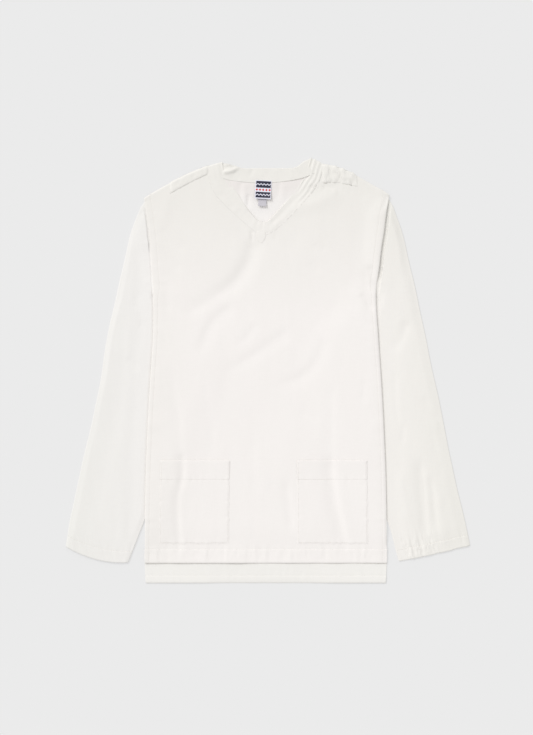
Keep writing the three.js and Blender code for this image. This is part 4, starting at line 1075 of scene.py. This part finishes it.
def label_material():
    """Woven label: two navy bands, each with a zigzag line, and red diamonds between them."""
    nodes = Nodes("woven_label")
    calc = nodes.math
    cosine, sine = math.cos(-LABEL_TURN), math.sin(-LABEL_TURN)
    x, y = LABEL_CENTRE
    centre = (x * cosine - y * sine, x * sine + y * cosine, 0)
    local = nodes.mapping(-LABEL_TURN)
    move = nodes.add("ShaderNodeVectorMath", {0: local, 1: centre}, operation="SUBTRACT")
    x, y = nodes.split(move.outputs[0])
    inside_x = calc("LESS_THAN", calc("ABSOLUTE", x), LABEL_SIZE[0] / 2 - 0.0011)
    inside_y = calc("LESS_THAN", calc("ABSOLUTE", y), LABEL_SIZE[1] / 2 - 0.0012)
    repeat = LABEL_SIZE[0] / 5
    saw = calc("MULTIPLY", calc("PINGPONG", calc("ADD", x, repeat * 0.25), repeat / 2), 0.9)
    bands = []
    for middle, half in LABEL_BANDS:
        band = calc("LESS_THAN", calc("ABSOLUTE", calc("SUBTRACT", y, middle)), half)
        from_line = calc("SUBTRACT", calc("SUBTRACT", y, middle - 0.0012), saw)
        bands.append(calc("MULTIPLY", band, calc("GREATER_THAN", calc("ABSOLUTE", from_line), 0.0009)))
    navy = calc("MULTIPLY", calc("MAXIMUM", *bands), calc("MULTIPLY", inside_x, inside_y))
    spread = calc("PINGPONG", x, repeat / 2)
    diamond = calc("ADD", spread, calc("ABSOLUTE", calc("ADD", y, 0.0004)))
    colour = nodes.mix(calc("LESS_THAN", diamond, 0.0024), nodes.mix(navy, LABEL_WHITE, NAVY), RED)
    ribs = nodes.wave(local, 0.00035, "Y", 0.2)
    return nodes.finish(colour, nodes.bump(ribs, 0.00005, 0.6), 0.62, 0.15)


# Polished cotton thread, a touch lighter than the cloth, and the smooth white tape of the size tab, given
# grey tones that stand partly for its grey print and partly for painted shade
THREAD_TONES = (0.2, srgb(233, 229, 223)), (0.8, srgb(242, 238, 233))
TAPE_TONES = (0.0, srgb(194, 191, 197)), (1.0, srgb(206, 203, 209))
FLOOR_GREY = 0.3375
FLOOR_GLOW = 0.49


def floor_material():
    """Plain floor, lit from below like a light table, so that the shadows on it stay pale."""
    nodes = Nodes("floor")
    grain = nodes.noise(nodes.mapping(), 3)
    dark, light = ((FLOOR_GREY + shift,) * 3 + (1,) for shift in (-0.0025, 0.0025))
    inputs = {
        "Base Color": nodes.ramp(grain, (0.0, dark), (1.0, light)), "Roughness": 0.95,
        "Specular IOR Level": 0.0, "Emission Color": (1, 1, 1, 1), "Emission Strength": FLOOR_GLOW,
    }
    nodes.feed(nodes.shader, inputs)
    return nodes.material


# Stage
PICTURE_WIDTH_M = 533 * 1.85 * MM
EYE = (-0.00268, 0.0050, 3.2)
SENSOR = 36
FLOOR_SIZE = 30
FLOOR_Z = -0.0002
SKY_STRENGTH = 0.7
KEY_STRENGTH = 1.45
KEY_ANGLE = math.radians(26)
KEY_DIRECTION = (1.0, -1.1, -1.35)


def add_to_scene(name, data):
    piece = bpy.data.objects.new(name, data)
    bpy.context.scene.collection.objects.link(piece)
    return piece


def add_stage():
    bpy.ops.mesh.primitive_plane_add(size=FLOOR_SIZE, location=(0, 0, FLOOR_Z))
    floor = bpy.context.object
    floor.name = "floor"
    floor.data.materials.append(floor_material())
    world = bpy.context.scene.world or bpy.data.worlds.new("world")
    bpy.context.scene.world = world
    world.use_nodes = True
    sky = world.node_tree.nodes["Background"].inputs
    sky["Color"].default_value = (1, 1, 1, 1)
    sky["Strength"].default_value = SKY_STRENGTH
    key = bpy.data.lights.new("key", "SUN")
    key.energy, key.angle = KEY_STRENGTH, KEY_ANGLE
    add_to_scene("key", key).rotation_euler = Vector(KEY_DIRECTION).to_track_quat("-Z", "Y").to_euler()
    data = bpy.data.cameras.new("camera")
    data.sensor_fit = "HORIZONTAL"
    data.sensor_width = SENSOR
    data.lens = SENSOR * EYE[2] / PICTURE_WIDTH_M
    camera = add_to_scene("camera", data)
    camera.location = EYE
    bpy.context.scene.camera = camera


# Sewing lines, in millimetres: spacing, lift of the thread, and where the lines reach
SEWING_STEP = 3
THREAD_LIFT = 0.12
POCKET_THREAD_LIFT = POCKET_WALL - 0.1
FRONT_LINE_REACH = 221
BACK_LINE_REACH = 218
SIDE_LINE_TOP = 330


def settle(piece, material, nodes=()):
    """Give a piece its material, hang it under the root, and hide the frame's nodes that it replaces."""
    piece.data.materials.append(material)
    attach(piece, "root")
    if nodes:
        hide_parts(*nodes)


def build():
    bpy.context.scene.view_settings.view_transform = "Standard"
    body_cotton = cotton_material("cotton")
    # The back is a little lighter, with painted falloff shade darker toward its hem and painted shade inside
    # the neck at the nape.
    back_cotton = cotton_material("cotton_back", 0, (2.4, 3, 4), 0.85, (0.37, 0.1), True)
    # Painted shade: the sleeves' tones, the right one darker, stand for the light falling off toward the
    # sides.
    sleeve_cotton = {
        -1: cotton_material("cotton_sleeve_left", math.radians(12), (-0.5, 0.5, 1.7)),
        1: cotton_material("cotton_sleeve_right", math.radians(-12), (-2.1, -1.4, -2.4)),
    }
    thread = ribbed_material("thread", 0.7, 0.0007, "DIAGONAL", THREAD_TONES, (0.00012, 0.6), 0.6)
    tape = ribbed_material("tape", 0, 0.0004, "Y", TAPE_TONES, (0.00005, 0.5), 0.55)

    front, front_grid = panel(1)
    back, back_grid = panel(-1)
    settle(front, body_cotton, ["front"])
    settle(back, back_cotton, ["back"])
    lines = []
    for sign, side in ((-1, "left"), (1, "right")):
        cloth, outer, from_cuff = sleeve(sign)
        settle(cloth, sleeve_cotton[sign], [f"sleeve_{side}"])
        seam = outer[np.argmin(np.abs(from_cuff[:, 0] - CUFF_HEM)), UPPER_STOPS]
        lines.append((seam + [0, 0, THREAD_LIFT], np.tile([0.0, 0, 1], (len(seam), 1))))
        strip, node = shoulder_strip(sign, front_grid, back_grid), f"shoulder_strip_{side}"
        settle(strip, body_cotton, [node])
    settle(neck_band(), body_cotton, ["neckband"])

    for name, start, end in POCKETS:
        pocket = patch_pocket(name + "_cloth", start, end)
        settle(pocket, body_cotton, [name])
        y = subdivide([POCKET_BOTTOM + POCKET_SEWING, POCKET_TOP - 1], SEWING_STEP)
        for share, inset in ((start, POCKET_SEWING), (end, -POCKET_SEWING)):
            x = CENTRE_X + share * half_at(y) + inset
            lines.append(line_on(pocket_height, x, y, POCKET_THREAD_LIFT))
        for place in (POCKET_BOTTOM + POCKET_SEWING, POCKET_HEM):
            left, right = (CENTRE_X + share * float(half_at(place)) for share in (start, end))
            x = subdivide([left + 3, right - 3], SEWING_STEP)
            lines.append(line_on(pocket_height, x, place, POCKET_THREAD_LIFT))
    across = lambda reach: subdivide([CENTRE_X - reach, CENTRE_X + reach], SEWING_STEP)
    lines.append(line_on(front_height, across(FRONT_LINE_REACH), FRONT_STITCH_Y))
    lines.append(line_on(back_inside, across(BACK_LINE_REACH), BACK_STITCH_Y))
    y = subdivide([FRONT_HEM_Y + 2, SIDE_LINE_TOP], SEWING_STEP)
    for sign in (-1, 1):
        lines.append(line_on(front_height, CENTRE_X + sign * (half_at(y) - side_line(y)), y))
    settle(stitches("topstitching", lines), thread)

    patch = small_piece(*V_SHIELD, lambda x, y, down, across: front_height(x, y) + 0.1)
    settle(patch, body_cotton, ["v_patch"])
    label_z = lambda x, y, down, across: 4.2 + 3.2 * down**2 + 0.9 * (2 * across) ** 2 * down
    settle(small_piece(*LABEL, label_z, LABEL_TURN), label_material(), ["neck_label"])
    tab_z = lambda x, y, down, across: 3.0 + 3.6 * down**3
    settle(small_piece(*TAB, tab_z, LABEL_TURN), tape, ["size_tab"])


add_stage()
build()
